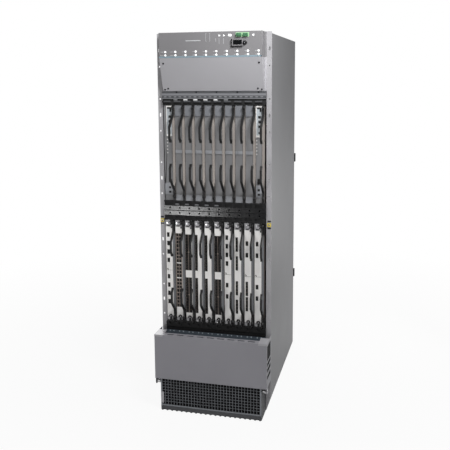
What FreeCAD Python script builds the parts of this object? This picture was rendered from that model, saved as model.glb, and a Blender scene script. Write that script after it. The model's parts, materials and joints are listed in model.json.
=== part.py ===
"""Modular router chassis for a 19-inch rack.

The front faces -Y, Z is up and the origin is under the middle of the chassis, on the floor.
Ten line cards slide in the lower cage, eight fabric cards and two control cards in the upper one.
"""
import FreeCAD, Part
import functools
import os
import re
import Sketcher

VECTOR = FreeCAD.Vector

# Driving sizes in millimetres, with counts as plain numbers
SIZES = {
    # Shell and rack flange
    "rack_unit": 44.45,
    "height_units": 36,
    "flange_width": 482.6,
    "flange_thick": 3,
    "body_width": 444.5,
    "body_depth": 785,
    "wall": 2,
    "rear_fold": 16,
    "top_fold": 20,
    "floor_thick": 3,
    "hole_span": 465.1,
    "hole_radius": 3.5,
    "hole_units": 3,
    "hole_count": 11,
    "rack_slot_length": 16,
    "rack_slot_count": 6,
    # Storeys, from the floor up
    "intake_height": 160,
    "trough_depth": 152,
    "lower_rail_height": 56,
    "tray_height": 84,
    "upper_rail_height": 57,
    "blank_height": 134,
    "craft_height": 100,
    "cage_difference": 50,
    # How far each storey stands in front of the flange
    "intake_reach": 95,
    "cover_reach": 106,
    "rail_reach": 12,
    "blank_foot_reach": 14,
    "craft_reach": 58,
    "craft_half": 213.5,
    "rear_reach": 25,
    "panel_lap": 30,
    # Card slots, guides and midplane
    "card_slots": 10,
    "cage_margin": 4.75,
    "card_gap": 0.5,
    "cage_clear": 0.6,
    "face_proud": 10,
    "strip_width": 14,
    "strip_proud": 4,
    "board_left": 12,
    "board_thick": 2.4,
    "board_clear": 0.5,
    "guide_depth": 2.2,
    "shelf_thick": 5,
    "midplane_depth": 460,
    "midplane_thick": 6,
    "connector_width": 12,
    "connector_depth": 10,
    "connector_margin": 40,
    # Rails and cable tray
    "rail_back": 8,
    "groove_depth": 6,
    "rail_lip": 2,
    "rail_gap": 8,
    "rail_band": 7,
    "tray_lip": 6,
    "tray_gap": 16,
    "band_seam": 3,
    "band_hole": 7,
    "skirt_band": 29,
    "scoop_radius": 13,
    "scoop_straight": 2,
    # Ejector levers
    "lever_thick": 7,
    "lever_foot": 38,
    "lever_ramp": 40,
    "lever_reach": 38,
    "lever_grip": 45,
    "fabric_foot": 26,
    "fabric_ramp": 54,
    "fabric_reach": 52,
    "fabric_grip": 43,
    "lever_tip": 14,
    "lever_hook": 12,
    "lever_round": 2.5,
    "knob_radius": 5.5,
    "hub_radius": 8,
    "pin_radius": 3,
    "pin_clear": 0.3,
    "pivot_out": 10,
    "upper_inset": 10,
    "lower_inset": 20,
    "ear_thick": 2,
    "lever_side": 0.6,
    "lever_margin": 3,
    # Ports on the line cards
    "port_depth": 3,
    "plug_left": 5,
    "plug_width": 11,
    "plug_height": 19.5,
    "plug_pitch": 37.3,
    "plug_upper": 265.5,
    "plug_lower": 81,
    "sparse_pitch": 49.7,
    "sparse_upper": 306.5,
    "sparse_lower": 121,
    "jack_left": 3.5,
    "jack_width": 9.5,
    "jack_height": 61.5,
    "jack_pitch": 66.2,
    "jack_foot": 68.5,
    "jack_bar": 2,
    "lane_left": 0.6,
    "lane_width": 11,
    "lane_bar": 5,
    "lane_height": 157,
    "lane_upper": 235,
    "lane_lower": 46,
    "cage_left": 5,
    "cage_width": 10,
    "cage_height": 61.5,
    "cage_pitch": 81,
    "cage_upper": 247.5,
    "cage_lower": 58,
    "close_pitch": 67.5,
    "close_lower": 72,
    # Fabric and control cards
    "bar_width": 11,
    "bar_overhang": 5.5,
    "fabric_proud": 6,
    "block_proud": 3,
    "top_block": 46,
    "foot_block": 25,
    "middle_band": 13,
    "middle_raise": 7,
    "module_height": 48,
    "console_port": 12,
    "console_ports": 3,
    "console_inset": 17,
    "console_pitch": 19.5,
    "console_drop": 42,
    # Indicator panel
    "display_x": 113,
    "display_drop": 45,
    "display_width": 46,
    "display_height": 29,
    "display_thick": 4,
    "display_lip": 3,
    "display_rim": 7,
    "button_x": 144,
    "button_drop": 45,
    "button_radius": 8,
    "button_proud": 6,
    "button_length": 20,
    "button_clear": 0.4,
    "terminal_x": 120.5,
    "terminal_pitch": 27,
    "terminal_drop": 14,
    "terminal_width": 20,
    "terminal_height": 12,
    "terminal_proud": 9,
    # Earthing jacks
    "jack_plate": 16,
    "jack_proud": 4,
    "jack_bore": 4,
    "jack_rise": -5,
    # Lower cover and intake grille
    "cover_overlap": 15,
    "cover_side": 243,
    "cover_rise": 29,
    "cover_back_gap": 8,
    "cover_lip": 30,
    "lip_slot_width": 30,
    "lip_slot_depth": 9,
    "lip_slot_count": 9,
    "lip_slot_pitch": 44,
    "ear_radius": 13,
    "hinge_radius": 4,
    "hinge_clear": 0.4,
    "hinge_setback": 8,
    "hinge_drop": 33,
    "hook_slot_width": 9,
    "hook_slot_height": 42,
    "hook_slot_pitch": 62,
    "grille_frame": 7,
    "grille_foot": 22,
    "grille_bar": 1.8,
    "grille_depth": 6,
    "grille_columns": 33,
    "grille_rows": 10,
    "scallop_radius": 6,
    "scallop_count": 21,
    # Rear bays, fan trays and power modules
    "bay_width": 404,
    "bay_clear": 0.6,
    "bay_shelf": 240,
    "fan_bay_height": 250,
    "lower_fan_z": 240,
    "upper_fan_z": 860,
    "power_bay_z": 1190,
    "power_bay_height": 350,
    "plate_thick": 4,
    "fan_radius": 58,
    "fan_pitch": 126,
    "fan_count": 3,
    "fan_hub": 24,
    "fan_deep": 30,
    "fan_blades": 7,
    "blade_thick": 3,
    "blade_clear": 3,
    "strut_width": 8,
    "grip_length": 90,
    "grip_thick": 6,
    "grip_width": 10,
    "grip_margin": 6,
    "module_count": 9,
    "module_seam": 2,
    "module_seam_depth": 3,
    "inlet_width": 24,
    "inlet_height": 20,
    "inlet_proud": 6,
    "inlet_z": 40,
    "tab_thick": 4,
    "tab_height": 70,
    "tab_z": 250,
}

# Sizes that follow from the driving ones
DERIVED = {
    "height": "rack_unit * height_units",
    "front_y": "cover_reach - (cover_reach + body_depth + rear_reach) / 2",
    "half_body": "body_width / 2",
    "half_inside": "half_body - wall",
    "cages_height": "height - intake_height - trough_depth - lower_rail_height - tray_height"
                    " - upper_rail_height - blank_height - craft_height",
    "lower_height": "cages_height / 2 + cage_difference / 2",
    "upper_height": "cages_height / 2 - cage_difference / 2",
    "rail_foot_z": "intake_height + trough_depth",
    "lower_z": "rail_foot_z + lower_rail_height",
    "tray_z": "lower_z + lower_height",
    "upper_z": "tray_z + tray_height",
    "upper_rail_z": "upper_z + upper_height",
    "blank_z": "upper_rail_z + upper_rail_height",
    "craft_z": "blank_z + blank_height",
    "slot_pitch": "(2 * half_inside - 2 * cage_margin) / card_slots",
    "cage_left_x": "-slot_pitch * card_slots / 2",
    "card_width": "slot_pitch - card_gap",
    "face_width": "card_width - strip_width",
    "board_bite": "guide_depth - board_clear",
    "band_height": "(tray_height - 2 * tray_lip - 2 * tray_gap - band_seam) / 2",
    "band_z": "tray_z + tray_lip + tray_gap",
    "board_depth": "midplane_depth - connector_depth - board_clear",
    "lever_x": "face_width + ear_thick + lever_side",
    "lever_width": "strip_width - ear_thick - lever_side - lever_margin",
    "pivot_y": "-strip_proud - pivot_out",
    "lever_bend": "lever_thick / 2 * tan(atan(lever_reach / lever_ramp) / 2)",
    "fabric_bend": "lever_thick / 2 * tan(atan(fabric_reach / fabric_ramp) / 2)",
    "tip_bend": "lever_thick / 2 * tan(atan(lever_hook / lever_tip) / 2)",
    "tip_side": "lever_thick / 2 * cos(atan(lever_hook / lever_tip))",
    "tip_rise": "lever_thick / 2 * sin(atan(lever_hook / lever_tip))",
    "lever_shoulder": "lever_foot + lever_ramp",
    "lever_bow": "lever_shoulder + lever_grip",
    "lever_end": "lever_bow + lever_tip",
    "fabric_shoulder": "fabric_foot + fabric_ramp",
    "fabric_bow": "fabric_shoulder + fabric_grip",
    "fabric_end": "fabric_bow + lever_tip",
    "jack_plate_z": "tray_z + jack_rise",
    "hinge_y": "-intake_reach + hinge_setback",
    "hinge_z": "intake_height - hinge_drop",
    "cover_z": "intake_height - cover_overlap",
    "cover_top": "rail_foot_z + cover_rise",
    "rear_y": "body_depth",
    "rear_plate_y": "body_depth - 2 * wall",
    "tray_width": "bay_width - 2 * bay_clear",
    "fan_x": "-fan_pitch * (fan_count - 1) / 2",
    "grip_x": "tray_width / 2 - grip_margin - grip_width",
    "module_pitch": "tray_width / module_count",
}

doc = FreeCAD.newDocument("RackRouter")
sheet = doc.addObject("Spreadsheet::Sheet", "Sizes")
for line, (alias, value) in enumerate(SIZES.items(), start=1):
    sheet.set(f"A{line}", alias)
    sheet.set(f"B{line}", str(value))
    sheet.setAlias(f"B{line}", alias)
doc.recompute()

PIECES = []


@functools.cache
def formula(text):
    """Turn the size names in a formula into references to the sheet."""
    def refer(match):
        word = match.group(0)
        if word in DERIVED:
            return "(" + formula(DERIVED[word]) + ")"
        return "Sizes." + word if word in SIZES else word
    return re.sub(r"[a-z][a-z_0-9]*", refer, text)


@functools.cache
def number(text):
    """Present value of a formula, in millimetres."""
    value = sheet.evalExpression(formula(text))
    return float(getattr(value, "Value", value))


def bind(thing, path, text):
    thing.setExpression(path, formula(text))


def datum(body, role):
    return next(item for item in body.Origin.OriginFeatures if item.Role == role)


def new_body(label, x="0", y="front_y", z="0"):
    """Empty body placed in the chassis: its own y = 0 is the front of the rack flange."""
    body = doc.addObject("PartDesign::Body", label)
    body.Label = label
    for axis, text in zip("xyz", (x, y, z)):
        bind(body, f"Placement.Base.{axis}", text)
    PIECES.append(body)
    return body


def new_sketch(body, plane, offset="0"):
    sketch = body.newObject("Sketcher::SketchObject", f"{body.Name}_sketch")
    sketch.AttachmentSupport = [(datum(body, plane), "")]
    sketch.MapMode = "FlatFace"
    bind(sketch, "AttachmentOffset.Base.z", offset)
    return sketch


def fix_point(sketch, index, end, across, along):
    for kind, text in (("DistanceX", across), ("DistanceY", along)):
        row = sketch.addConstraint(Sketcher.Constraint(kind, -1, 1, index, end, number(text)))
        bind(sketch, f"Constraints[{row}]", text)


def outline(sketch, corners):
    """Closed outline of straight edges through corners given as pairs of formulas."""
    first, count = sketch.GeometryCount, len(corners)
    spots = [VECTOR(number(across), number(along), 0) for across, along in corners]
    sketch.addGeometry([Part.LineSegment(spots[i], spots[(i + 1) % count]) for i in range(count)])
    sketch.addConstraint([Sketcher.Constraint("Coincident", first + i, 2, first + (i + 1) % count, 1)
                          for i in range(count)])
    for i, (across, along) in enumerate(corners):
        fix_point(sketch, first + i, 1, across, along)


def rectangle(sketch, left, low, right, high):
    outline(sketch, [(left, low), (right, low), (right, high), (left, high)])


def circle(sketch, across, along, radius):
    centre = VECTOR(number(across), number(along), 0)
    index = sketch.addGeometry(Part.Circle(centre, VECTOR(0, 0, 1), number(radius)))
    fix_point(sketch, index, 3, across, along)
    row = sketch.addConstraint(Sketcher.Constraint("Radius", index, number(radius)))
    bind(sketch, f"Constraints[{row}]", radius)


def obround(sketch, across, along, radius, length):
    """Upright slot with round ends, along its whole length."""
    ends = (f"({along}) + ({length}) / 2 - {radius}", f"({along}) - ({length}) / 2 + {radius}")
    x, r = number(across), number(radius)
    top, low = (number(end) for end in ends)
    arcs = [Part.ArcOfCircle(Part.Circle(VECTOR(x, z, 0), VECTOR(0, 0, 1), r), start, start + 3.14159265)
            for z, start in ((top, 0.0), (low, 3.14159265))]
    first = sketch.GeometryCount
    sketch.addGeometry(arcs + [Part.LineSegment(VECTOR(x - r, top, 0), VECTOR(x - r, low, 0)),
                               Part.LineSegment(VECTOR(x + r, low, 0), VECTOR(x + r, top, 0))])
    joints = ((0, 2, 2, 1), (2, 2, 1, 1), (1, 2, 3, 1), (3, 2, 0, 1))
    sketch.addConstraint([Sketcher.Constraint("Tangent", first + a, i, first + b, j)
                          for a, i, b, j in joints])
    for index, end in enumerate(ends):
        fix_point(sketch, first + index, 3, across, end)
    row = sketch.addConstraint(Sketcher.Constraint("Radius", first, r))
    bind(sketch, f"Constraints[{row}]", radius)


def solid(body, kind, sketch, length, backwards=False):
    """Pad or pocket of one sketch."""
    feature = body.newObject(f"PartDesign::{kind}", f"{body.Name}_{kind.lower()}")
    feature.Profile = sketch
    bind(feature, "Length", length)
    feature.Reversed = backwards
    body.Tip = feature
    return feature


def pad(body, sketch, length, backwards=False):
    return solid(body, "Pad", sketch, length, backwards)


def pocket(body, sketch, length, backwards=False):
    return solid(body, "Pocket", sketch, length, backwards)


def repeat(body, feature, axis, count, pitch):
    """Straight row of copies of one feature."""
    pattern = body.newObject("PartDesign::LinearPattern", f"{body.Name}_row")
    pattern.Originals = [feature]
    pattern.Direction = (datum(body, axis), [""])
    bind(pattern, "Length", f"({count} - 1) * ({pitch})")
    bind(pattern, "Occurrences", count)
    body.Tip = pattern
    return pattern


def folded(body, profile, length, plane="XY_Plane", offset="0", backwards=False):
    """Sheet or bar of one section."""
    sketch = new_sketch(body, plane, offset)
    outline(sketch, profile)
    return pad(body, sketch, length, backwards)


def primitive(kind, name, place, **sizes):
    """Part primitive whose sizes and place are bound to the sheet."""
    thing = doc.addObject(f"Part::{kind}", name)
    for key, text in sizes.items():
        bind(thing, key, text)
    for axis, text in zip("xyz", place):
        bind(thing, f"Placement.Base.{axis}", text)
    return thing


# Side panels, each folded with its rack flange and a rear lip
def side_panel(label, hand):
    body = new_body(label)
    profile = [("half_inside", "0"), ("flange_width / 2", "0"), ("flange_width / 2", "flange_thick"),
               ("half_body", "flange_thick"), ("half_body", "body_depth"),
               ("half_body - rear_fold", "body_depth"), ("half_body - rear_fold", "body_depth - wall"),
               ("half_inside", "body_depth - wall")]
    folded(body, [(f"{hand} * ({x})", y) for x, y in profile], "height")
    holes = new_sketch(body, "XZ_Plane")
    circle(holes, f"{hand} * hole_span / 2", "rack_unit * hole_units", "hole_radius")
    repeat(body, pocket(body, holes, "flange_thick + wall"), "Z_Axis", "hole_count",
           "rack_unit * hole_units")
    slots = new_sketch(body, "XZ_Plane")
    obround(slots, f"{hand} * hole_span / 2", "1.5 * rack_unit * hole_units", "hole_radius",
            "rack_slot_length")
    repeat(body, pocket(body, slots, "flange_thick + wall"), "Z_Axis", "rack_slot_count",
           "2 * rack_unit * hole_units")


# Top panel with a fold down each side
def top_panel():
    body = new_body("top_panel")
    profile = [("-half_inside", "height"), ("-half_inside", "height - top_fold"),
               ("-half_inside + wall", "height - top_fold"), ("-half_inside + wall", "height - wall"),
               ("half_inside - wall", "height - wall"), ("half_inside - wall", "height - top_fold"),
               ("half_inside", "height - top_fold"), ("half_inside", "height")]
    folded(body, profile, "rear_plate_y - panel_lap", "XZ_Plane", "-panel_lap", backwards=True)


# Base pan: the floor, the cheeks of the intake duct and the pins of the lower cover
def base_pan():
    body = new_body("base_pan")
    floor = new_sketch(body, "XY_Plane")
    rectangle(floor, "-half_inside", "-intake_reach", "half_inside", "rear_plate_y")
    pad(body, floor, "floor_thick")
    cheeks = new_sketch(body, "XY_Plane")
    rectangle(cheeks, "-half_inside", "-intake_reach", "-half_inside + wall", "0")
    rectangle(cheeks, "half_inside - wall", "-intake_reach", "half_inside", "0")
    pad(body, cheeks, "intake_height")
    for hand in (-1, 1):
        pin = new_sketch(body, "YZ_Plane", f"{hand} * (half_inside - wall)")
        circle(pin, "hinge_y", "hinge_z", "hinge_radius")
        pad(body, pin, "cover_side - half_inside + wall", backwards=hand < 0)


# Rear panel: bays for the fan trays and the power modules, with a shelf under each
def rear_panel():
    body = new_body("rear_panel")
    bays = (("lower_fan_z", "fan_bay_height"), ("upper_fan_z", "fan_bay_height"),
            ("power_bay_z", "power_bay_height"))
    plate = new_sketch(body, "XZ_Plane", "-rear_plate_y")
    rectangle(plate, "-half_inside", "floor_thick", "half_inside", "height - wall")
    for low, tall in bays:
        rectangle(plate, "-bay_width / 2", low, "bay_width / 2", f"{low} + {tall}")
    pad(body, plate, "wall", backwards=True)
    for low, tall in bays:
        shelf = new_sketch(body, "XZ_Plane", "-rear_plate_y - wall")
        rectangle(shelf, "-bay_width / 2 - wall", f"{low} - wall", "bay_width / 2 + wall", low)
        pad(body, shelf, "bay_shelf + wall")


# Midplane: one board across the chassis, with a connector for every card
def midplane():
    body = new_body("midplane")
    board = new_sketch(body, "XZ_Plane", "-midplane_depth")
    rectangle(board, "-half_inside", "lower_z - shelf_thick", "half_inside", "upper_rail_z + shelf_thick")
    pad(body, board, "midplane_thick", backwards=True)
    left = "cage_left_x + board_left + board_thick / 2 - connector_width / 2"
    for low, tall in (("lower_z", "lower_height"), ("upper_z", "upper_height")):
        connector = new_sketch(body, "XZ_Plane", "-midplane_depth")
        rectangle(connector, left, f"{low} + connector_margin", f"{left} + connector_width",
                  f"{low} + {tall} - connector_margin")
        repeat(body, pad(body, connector, "connector_depth"), "X_Axis", "card_slots", "slot_pitch")


# Grooves in which the edges of the boards run
def guide_grooves(body, z, from_above):
    grooves = new_sketch(body, "XY_Plane", z)
    left = "cage_left_x + board_left - board_clear"
    rectangle(grooves, left, "-rail_reach - wall", f"{left} + board_thick + 2 * board_clear",
              "midplane_depth - connector_depth")
    repeat(body, pocket(body, grooves, "guide_depth", backwards=not from_above), "X_Axis", "card_slots",
           "slot_pitch")


def groove(low, tall, deep="groove_depth"):
    """Corners of a groove along the front of a rail, from the bottom up."""
    front, back = "-rail_reach", f"-rail_reach + {deep}"
    return [(front, low), (back, low), (back, f"{low} + {tall}"), (front, f"{low} + {tall}")]


# Upper card rail: two grooves along its front, and the guide shelf of the upper cage
def upper_card_rail():
    body = new_body("upper_card_rail")
    z, front = "upper_rail_z", "-rail_reach"
    profile = [(front, "blank_z"), ("rail_back", "blank_z"), ("rail_back", f"{z} + shelf_thick"),
               ("midplane_depth", f"{z} + shelf_thick"), ("midplane_depth", z), (front, z)]
    profile += groove(f"{z} + rail_lip", "rail_gap")
    profile += groove(f"{z} + rail_lip + rail_gap + rail_band", "rail_gap")
    folded(body, profile, "2 * half_inside", "YZ_Plane", "-half_inside")
    guide_grooves(body, z, from_above=False)


# Middle cable tray: two pierced bands between deep grooves, and a guide shelf for each cage
def middle_cable_tray():
    body = new_body("middle_cable_tray")
    front, upper_band = "-rail_reach", "band_z + band_height + band_seam"
    profile = [(front, "upper_z"), ("midplane_depth", "upper_z"), ("midplane_depth", "upper_z - shelf_thick"),
               ("rail_back", "upper_z - shelf_thick"), ("rail_back", "tray_z + shelf_thick"),
               ("midplane_depth", "tray_z + shelf_thick"), ("midplane_depth", "tray_z"), (front, "tray_z")]
    profile += groove("tray_z + tray_lip", "tray_gap")
    profile += groove("band_z + band_height", "band_seam", deep="wall")
    profile += groove("upper_z - tray_lip - tray_gap", "tray_gap")
    folded(body, profile, "2 * half_inside", "YZ_Plane", "-half_inside")
    holes = new_sketch(body, "XZ_Plane", "rail_reach")
    left = "cage_left_x + (slot_pitch - band_hole) / 2"
    for band in ("band_z", upper_band):
        low = f"{band} + (band_height - band_hole) / 2"
        rectangle(holes, left, low, f"{left} + band_hole", f"{low} + band_hole")
    repeat(body, pocket(body, holes, "groove_depth"), "X_Axis", "card_slots", "slot_pitch")
    guide_grooves(body, "upper_z", from_above=True)
    guide_grooves(body, "tray_z", from_above=False)


# Lower card rail with its skirt and the floor of the cable trough, folded from one profile;
# a round scoop under each card leaves room for the foot of its lever
def lower_card_rail():
    body = new_body("lower_card_rail")
    profile = [("-rail_reach", "lower_z"), ("midplane_depth", "lower_z"),
               ("midplane_depth", "lower_z - shelf_thick"), ("wall", "lower_z - shelf_thick"),
               ("wall", "intake_height"), ("-intake_reach", "intake_height"),
               ("-intake_reach", "intake_height + wall"), ("0", "intake_height + wall"),
               ("0", "rail_foot_z"), ("-rail_reach", "rail_foot_z")]
    profile += groove("rail_foot_z + skirt_band", "rail_gap")
    folded(body, profile, "2 * half_inside", "YZ_Plane", "-half_inside")
    scoops = new_sketch(body, "XZ_Plane", "rail_reach")
    obround(scoops, "cage_left_x + slot_pitch / 2", "lower_z", "scoop_radius",
            "2 * scoop_radius + 2 * scoop_straight")
    repeat(body, pocket(body, scoops, "groove_depth"), "X_Axis", "card_slots", "slot_pitch")
    guide_grooves(body, "lower_z", from_above=True)


def mirrored(corners):
    """Corners on the other side of the middle plane, in reverse order."""
    return [(f"-({x})", y) for x, y in reversed(corners)]


# Indicator panel: a shallow hood, stepped in at its sides, with the hole of the alarm button
def craft_panel():
    body = new_body("craft_panel")
    outer = [("half_inside", "panel_lap"), ("half_inside", "-wall"), ("craft_half", "-wall"),
             ("craft_half", "-craft_reach")]
    inner = [("craft_half - wall", "-craft_reach + wall"), ("craft_half - wall", "0"),
             ("half_inside - wall", "0"), ("half_inside - wall", "panel_lap")]
    folded(body, outer + mirrored(outer) + mirrored(inner) + inner, "craft_height", "XY_Plane", "craft_z")
    lid = new_sketch(body, "XY_Plane", "height - wall")
    outline(lid, outer + mirrored(outer))
    pad(body, lid, "wall")
    hole = new_sketch(body, "XZ_Plane", "craft_reach")
    circle(hole, "button_x", "height - button_drop", "button_radius + button_clear")
    pocket(body, hole, "2 * wall")


# Blank cover: a box with a sloping front, stepped in at its sides and open at the back
def blank_cover():
    body = new_body("blank_cover")
    folded(body, [("-craft_reach", "craft_z"), ("-blank_foot_reach", "blank_z"), ("0", "blank_z"),
                  ("0", "craft_z")], "2 * craft_half", "YZ_Plane", "-craft_half")
    folded(body, [("-wall", "craft_z"), ("-wall", "blank_z"), ("panel_lap", "blank_z"),
                  ("panel_lap", "craft_z")], "2 * half_inside", "YZ_Plane", "-half_inside")
    hollow = new_sketch(body, "YZ_Plane", "craft_half - wall")
    outline(hollow, [("-craft_reach + wall", "craft_z - wall"), ("-blank_foot_reach + wall", "blank_z + wall"),
                     ("panel_lap + wall", "blank_z + wall"), ("panel_lap + wall", "craft_z - wall")])
    pocket(body, hollow, "2 * craft_half - 2 * wall")


# Display: a plate with a sunk window and a lip along its left and lower edges
def craft_display():
    body = new_body("craft_display", "display_x - display_width / 2", "front_y - craft_reach",
                    "height - display_drop - display_height / 2")
    plate = new_sketch(body, "XZ_Plane")
    rectangle(plate, "0", "0", "display_width", "display_height")
    pad(body, plate, "display_thick")
    window = new_sketch(body, "XZ_Plane", "display_thick")
    rectangle(window, "display_rim", "display_rim", "display_width - display_rim / 2",
              "display_height - display_rim / 2")
    pocket(body, window, "display_thick / 2")
    lip = new_sketch(body, "XZ_Plane")
    outline(lip, [("0", "0"), ("display_width", "0"), ("display_width", "display_lip"),
                  ("display_lip", "display_lip"), ("display_lip", "display_height"), ("0", "display_height")])
    pad(body, lip, "display_thick + display_lip")


# Alarm button: a plunger with a collar behind the panel
def alarm_button():
    body = new_body("alarm_button", "button_x", "front_y - craft_reach", "height - button_drop")
    plunger = new_sketch(body, "XZ_Plane", "button_proud")
    circle(plunger, "0", "0", "button_radius")
    pad(body, plunger, "button_length", backwards=True)
    collar = new_sketch(body, "XZ_Plane", "-wall - button_clear")
    circle(collar, "0", "0", "button_radius + wall")
    pad(body, collar, "wall", backwards=True)


# Two pluggable terminal blocks, side by side
def alarm_terminals():
    blocks = [primitive("Box", f"terminal_{number_}", (
        f"terminal_x - terminal_width / 2 + {number_} * terminal_pitch",
        "front_y - craft_reach - terminal_proud", "height - terminal_drop - terminal_height / 2"),
        Length="terminal_width", Width="terminal_proud", Height="terminal_height") for number_ in range(2)]
    group("alarm_terminals", blocks)


# Two earthing jacks, one on each flange
def esd_jacks():
    jacks = []
    for side, hand in (("left", -1), ("right", 1)):
        plate = primitive("Box", f"jack_plate_{side}", (
            f"{hand} * hole_span / 2 - jack_plate / 2", "front_y - jack_proud", "jack_plate_z - jack_plate / 2"),
            Length="jack_plate", Width="jack_proud", Height="jack_plate")
        bore = primitive("Cylinder", f"jack_bore_{side}", (
            f"{hand} * hole_span / 2", "front_y + wall", "jack_plate_z"), Radius="jack_bore",
            Height="jack_proud + 2 * wall")
        bore.Placement.Rotation = FreeCAD.Rotation(VECTOR(1, 0, 0), 90)
        jack = doc.addObject("Part::Cut", f"jack_{side}")
        jack.Base, jack.Tool = plate, bore
        jacks.append(jack)
    group("esd_jacks", jacks)


def group(label, members):
    """Separate like solids that share one node."""
    bundle = doc.addObject("Part::Compound", label)
    bundle.Label = label
    bundle.Links = members
    PIECES.append(bundle)


# Intake grille: a frame on a scalloped foot, with upright bars in front and level bars behind
def intake_grille():
    body = new_body("intake_grille")
    foot, top = "scallop_radius", "intake_height + wall"
    frame = new_sketch(body, "XZ_Plane", "intake_reach")
    rectangle(frame, "-half_inside", foot, "half_inside", top)
    rectangle(frame, "-half_inside + grille_frame", f"{foot} + grille_foot", "half_inside - grille_frame",
              f"{top} - grille_frame")
    pad(body, frame, "grille_depth")
    scallop = new_sketch(body, "XZ_Plane", "intake_reach")
    circle(scallop, "-half_inside + scallop_radius", foot, "scallop_radius")
    repeat(body, pad(body, scallop, "grille_depth"), "X_Axis", "scallop_count",
           "(2 * half_inside - 2 * scallop_radius) / (scallop_count - 1)")
    across = "(2 * half_inside - 2 * grille_frame) / grille_columns"
    upright = new_sketch(body, "XZ_Plane", "intake_reach + grille_depth / 2")
    left = f"-half_inside + grille_frame + {across} - grille_bar / 2"
    rectangle(upright, left, f"{foot} + grille_foot / 2", f"{left} + grille_bar",
              f"{top} - grille_frame / 2")
    repeat(body, pad(body, upright, "grille_depth / 2"), "X_Axis", "grille_columns - 1", across)
    rise = f"({top} - {foot} - grille_foot - grille_frame) / grille_rows"
    level = new_sketch(body, "XZ_Plane", "intake_reach")
    low = f"{foot} + grille_foot + {rise} - grille_bar / 2"
    rectangle(level, "-half_inside + grille_frame / 2", low, "half_inside - grille_frame / 2",
              f"{low} + grille_bar")
    repeat(body, pad(body, level, "grille_depth / 2"), "Z_Axis", "grille_rows - 1", rise)


# Lower cover of the cable trough: folded sides, a slotted top lip and ears on the hinge pins
def lower_cover():
    body = new_body("lower_cover")
    inner = "cover_side - wall"
    profile = [("-cover_side", "-cover_reach"), ("cover_side", "-cover_reach"),
               ("cover_side", "-cover_back_gap"), (inner, "-cover_back_gap"),
               (inner, "-cover_reach + wall"), (f"-({inner})", "-cover_reach + wall"),
               (f"-({inner})", "-cover_back_gap"), ("-cover_side", "-cover_back_gap")]
    folded(body, profile, "cover_top - cover_z", "XY_Plane", "cover_z")
    lip = new_sketch(body, "XY_Plane", "cover_top - wall")
    rectangle(lip, "-cover_side", "-cover_reach", "cover_side", "-cover_reach + cover_lip")
    pad(body, lip, "wall")
    for hand in (-1, 1):
        start = "cover_side - wall" if hand > 0 else "-cover_side"
        ear = new_sketch(body, "YZ_Plane", start)
        outline(ear, [("hinge_y - ear_radius", "hinge_z"), ("hinge_y + ear_radius", "hinge_z"),
                      ("hinge_y + ear_radius", "cover_z + ear_radius"),
                      ("hinge_y - ear_radius", "cover_z + ear_radius")])
        pad(body, ear, "wall")
        round_end = new_sketch(body, "YZ_Plane", start)
        circle(round_end, "hinge_y", "hinge_z", "ear_radius")
        pad(body, round_end, "wall")
        bore = new_sketch(body, "YZ_Plane", f"{start} + wall")
        circle(bore, "hinge_y", "hinge_z", "hinge_radius + hinge_clear")
        pocket(body, bore, "wall")
        hooks = new_sketch(body, "YZ_Plane", f"{start} + wall")
        middle = "(cover_z + ear_radius + cover_top) / 2"
        for step in (-0.5, 0.5):
            obround(hooks, "-cover_reach / 2", f"{middle} + {step} * hook_slot_pitch", "hook_slot_width / 2",
                    "hook_slot_height")
        pocket(body, hooks, "wall")
    slots = new_sketch(body, "XY_Plane", "cover_top")
    left = "-lip_slot_pitch * (lip_slot_count - 1) / 2 - lip_slot_width / 2"
    deep = "-cover_reach + (cover_lip - lip_slot_depth) / 2"
    rectangle(slots, left, deep, f"{left} + lip_slot_width", f"{deep} + lip_slot_depth")
    repeat(body, pocket(body, slots, "wall"), "X_Axis", "lip_slot_count", "lip_slot_pitch")


def lever_outline(sketch, y, z, way, kind):
    """Bowed ejector lever: foot, ramp, grip and hooked tip; way is -1 where it hangs down."""
    thick, reach, foot, shoulder = "lever_thick / 2", f"{kind}_reach", f"{kind}_foot", f"{kind}_shoulder"
    bow, end, bend = f"{kind}_bow", f"{kind}_end", f"{kind}_bend"
    out = [(thick, "0"), (thick, f"{foot} - {bend}"), (f"{thick} + {reach}", f"{shoulder} - {bend}"),
           (f"{thick} + {reach}", f"{bow} + tip_bend"),
           (f"{reach} - lever_hook + tip_side", f"{end} + tip_rise")]
    back = [(f"{reach} - lever_hook - tip_side", f"{end} - tip_rise"),
            (f"{reach} - {thick}", f"{bow} - tip_bend"),
            (f"{reach} - {thick}", f"{shoulder} + {bend}"), (f"-{thick}", f"{foot} + {bend}"),
            (f"-{thick}", "0")]
    outline(sketch, [(f"({y}) - ({u})", f"({z}) + {way} * ({v})") for u, v in out + back])


def add_lever(body, x, y, z, way, kind):
    """Lever with its hub and knob; the lever of a line card has rounded bends and a bore for its pin."""
    bored = kind == "lever"
    band = new_sketch(body, "YZ_Plane", x)
    lever_outline(band, y, z, way, kind)
    first = pad(body, band, "lever_width")
    if bored:
        doc.recompute([first])
        bends = [f"Edge{i}" for i, edge in enumerate(first.Shape.Edges, start=1)
                 if edge.Length < number("lever_width") + 0.01 and is_bend(edge, z)]
        rounding = body.newObject("PartDesign::Fillet", f"{body.Name}_fillet")
        rounding.Base = (first, bends)
        bind(rounding, "Radius", "lever_round")
        body.Tip = rounding
    ends = new_sketch(body, "YZ_Plane", x)
    circle(ends, y, z, "hub_radius")
    circle(ends, f"({y}) - {kind}_reach + lever_hook", f"({z}) + {way} * {kind}_end", "knob_radius")
    pad(body, ends, "lever_width")
    if bored:
        bore = new_sketch(body, "YZ_Plane", f"{x} + lever_width")
        circle(bore, y, z, "pin_radius + pin_clear")
        pocket(body, bore, "lever_width")


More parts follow.
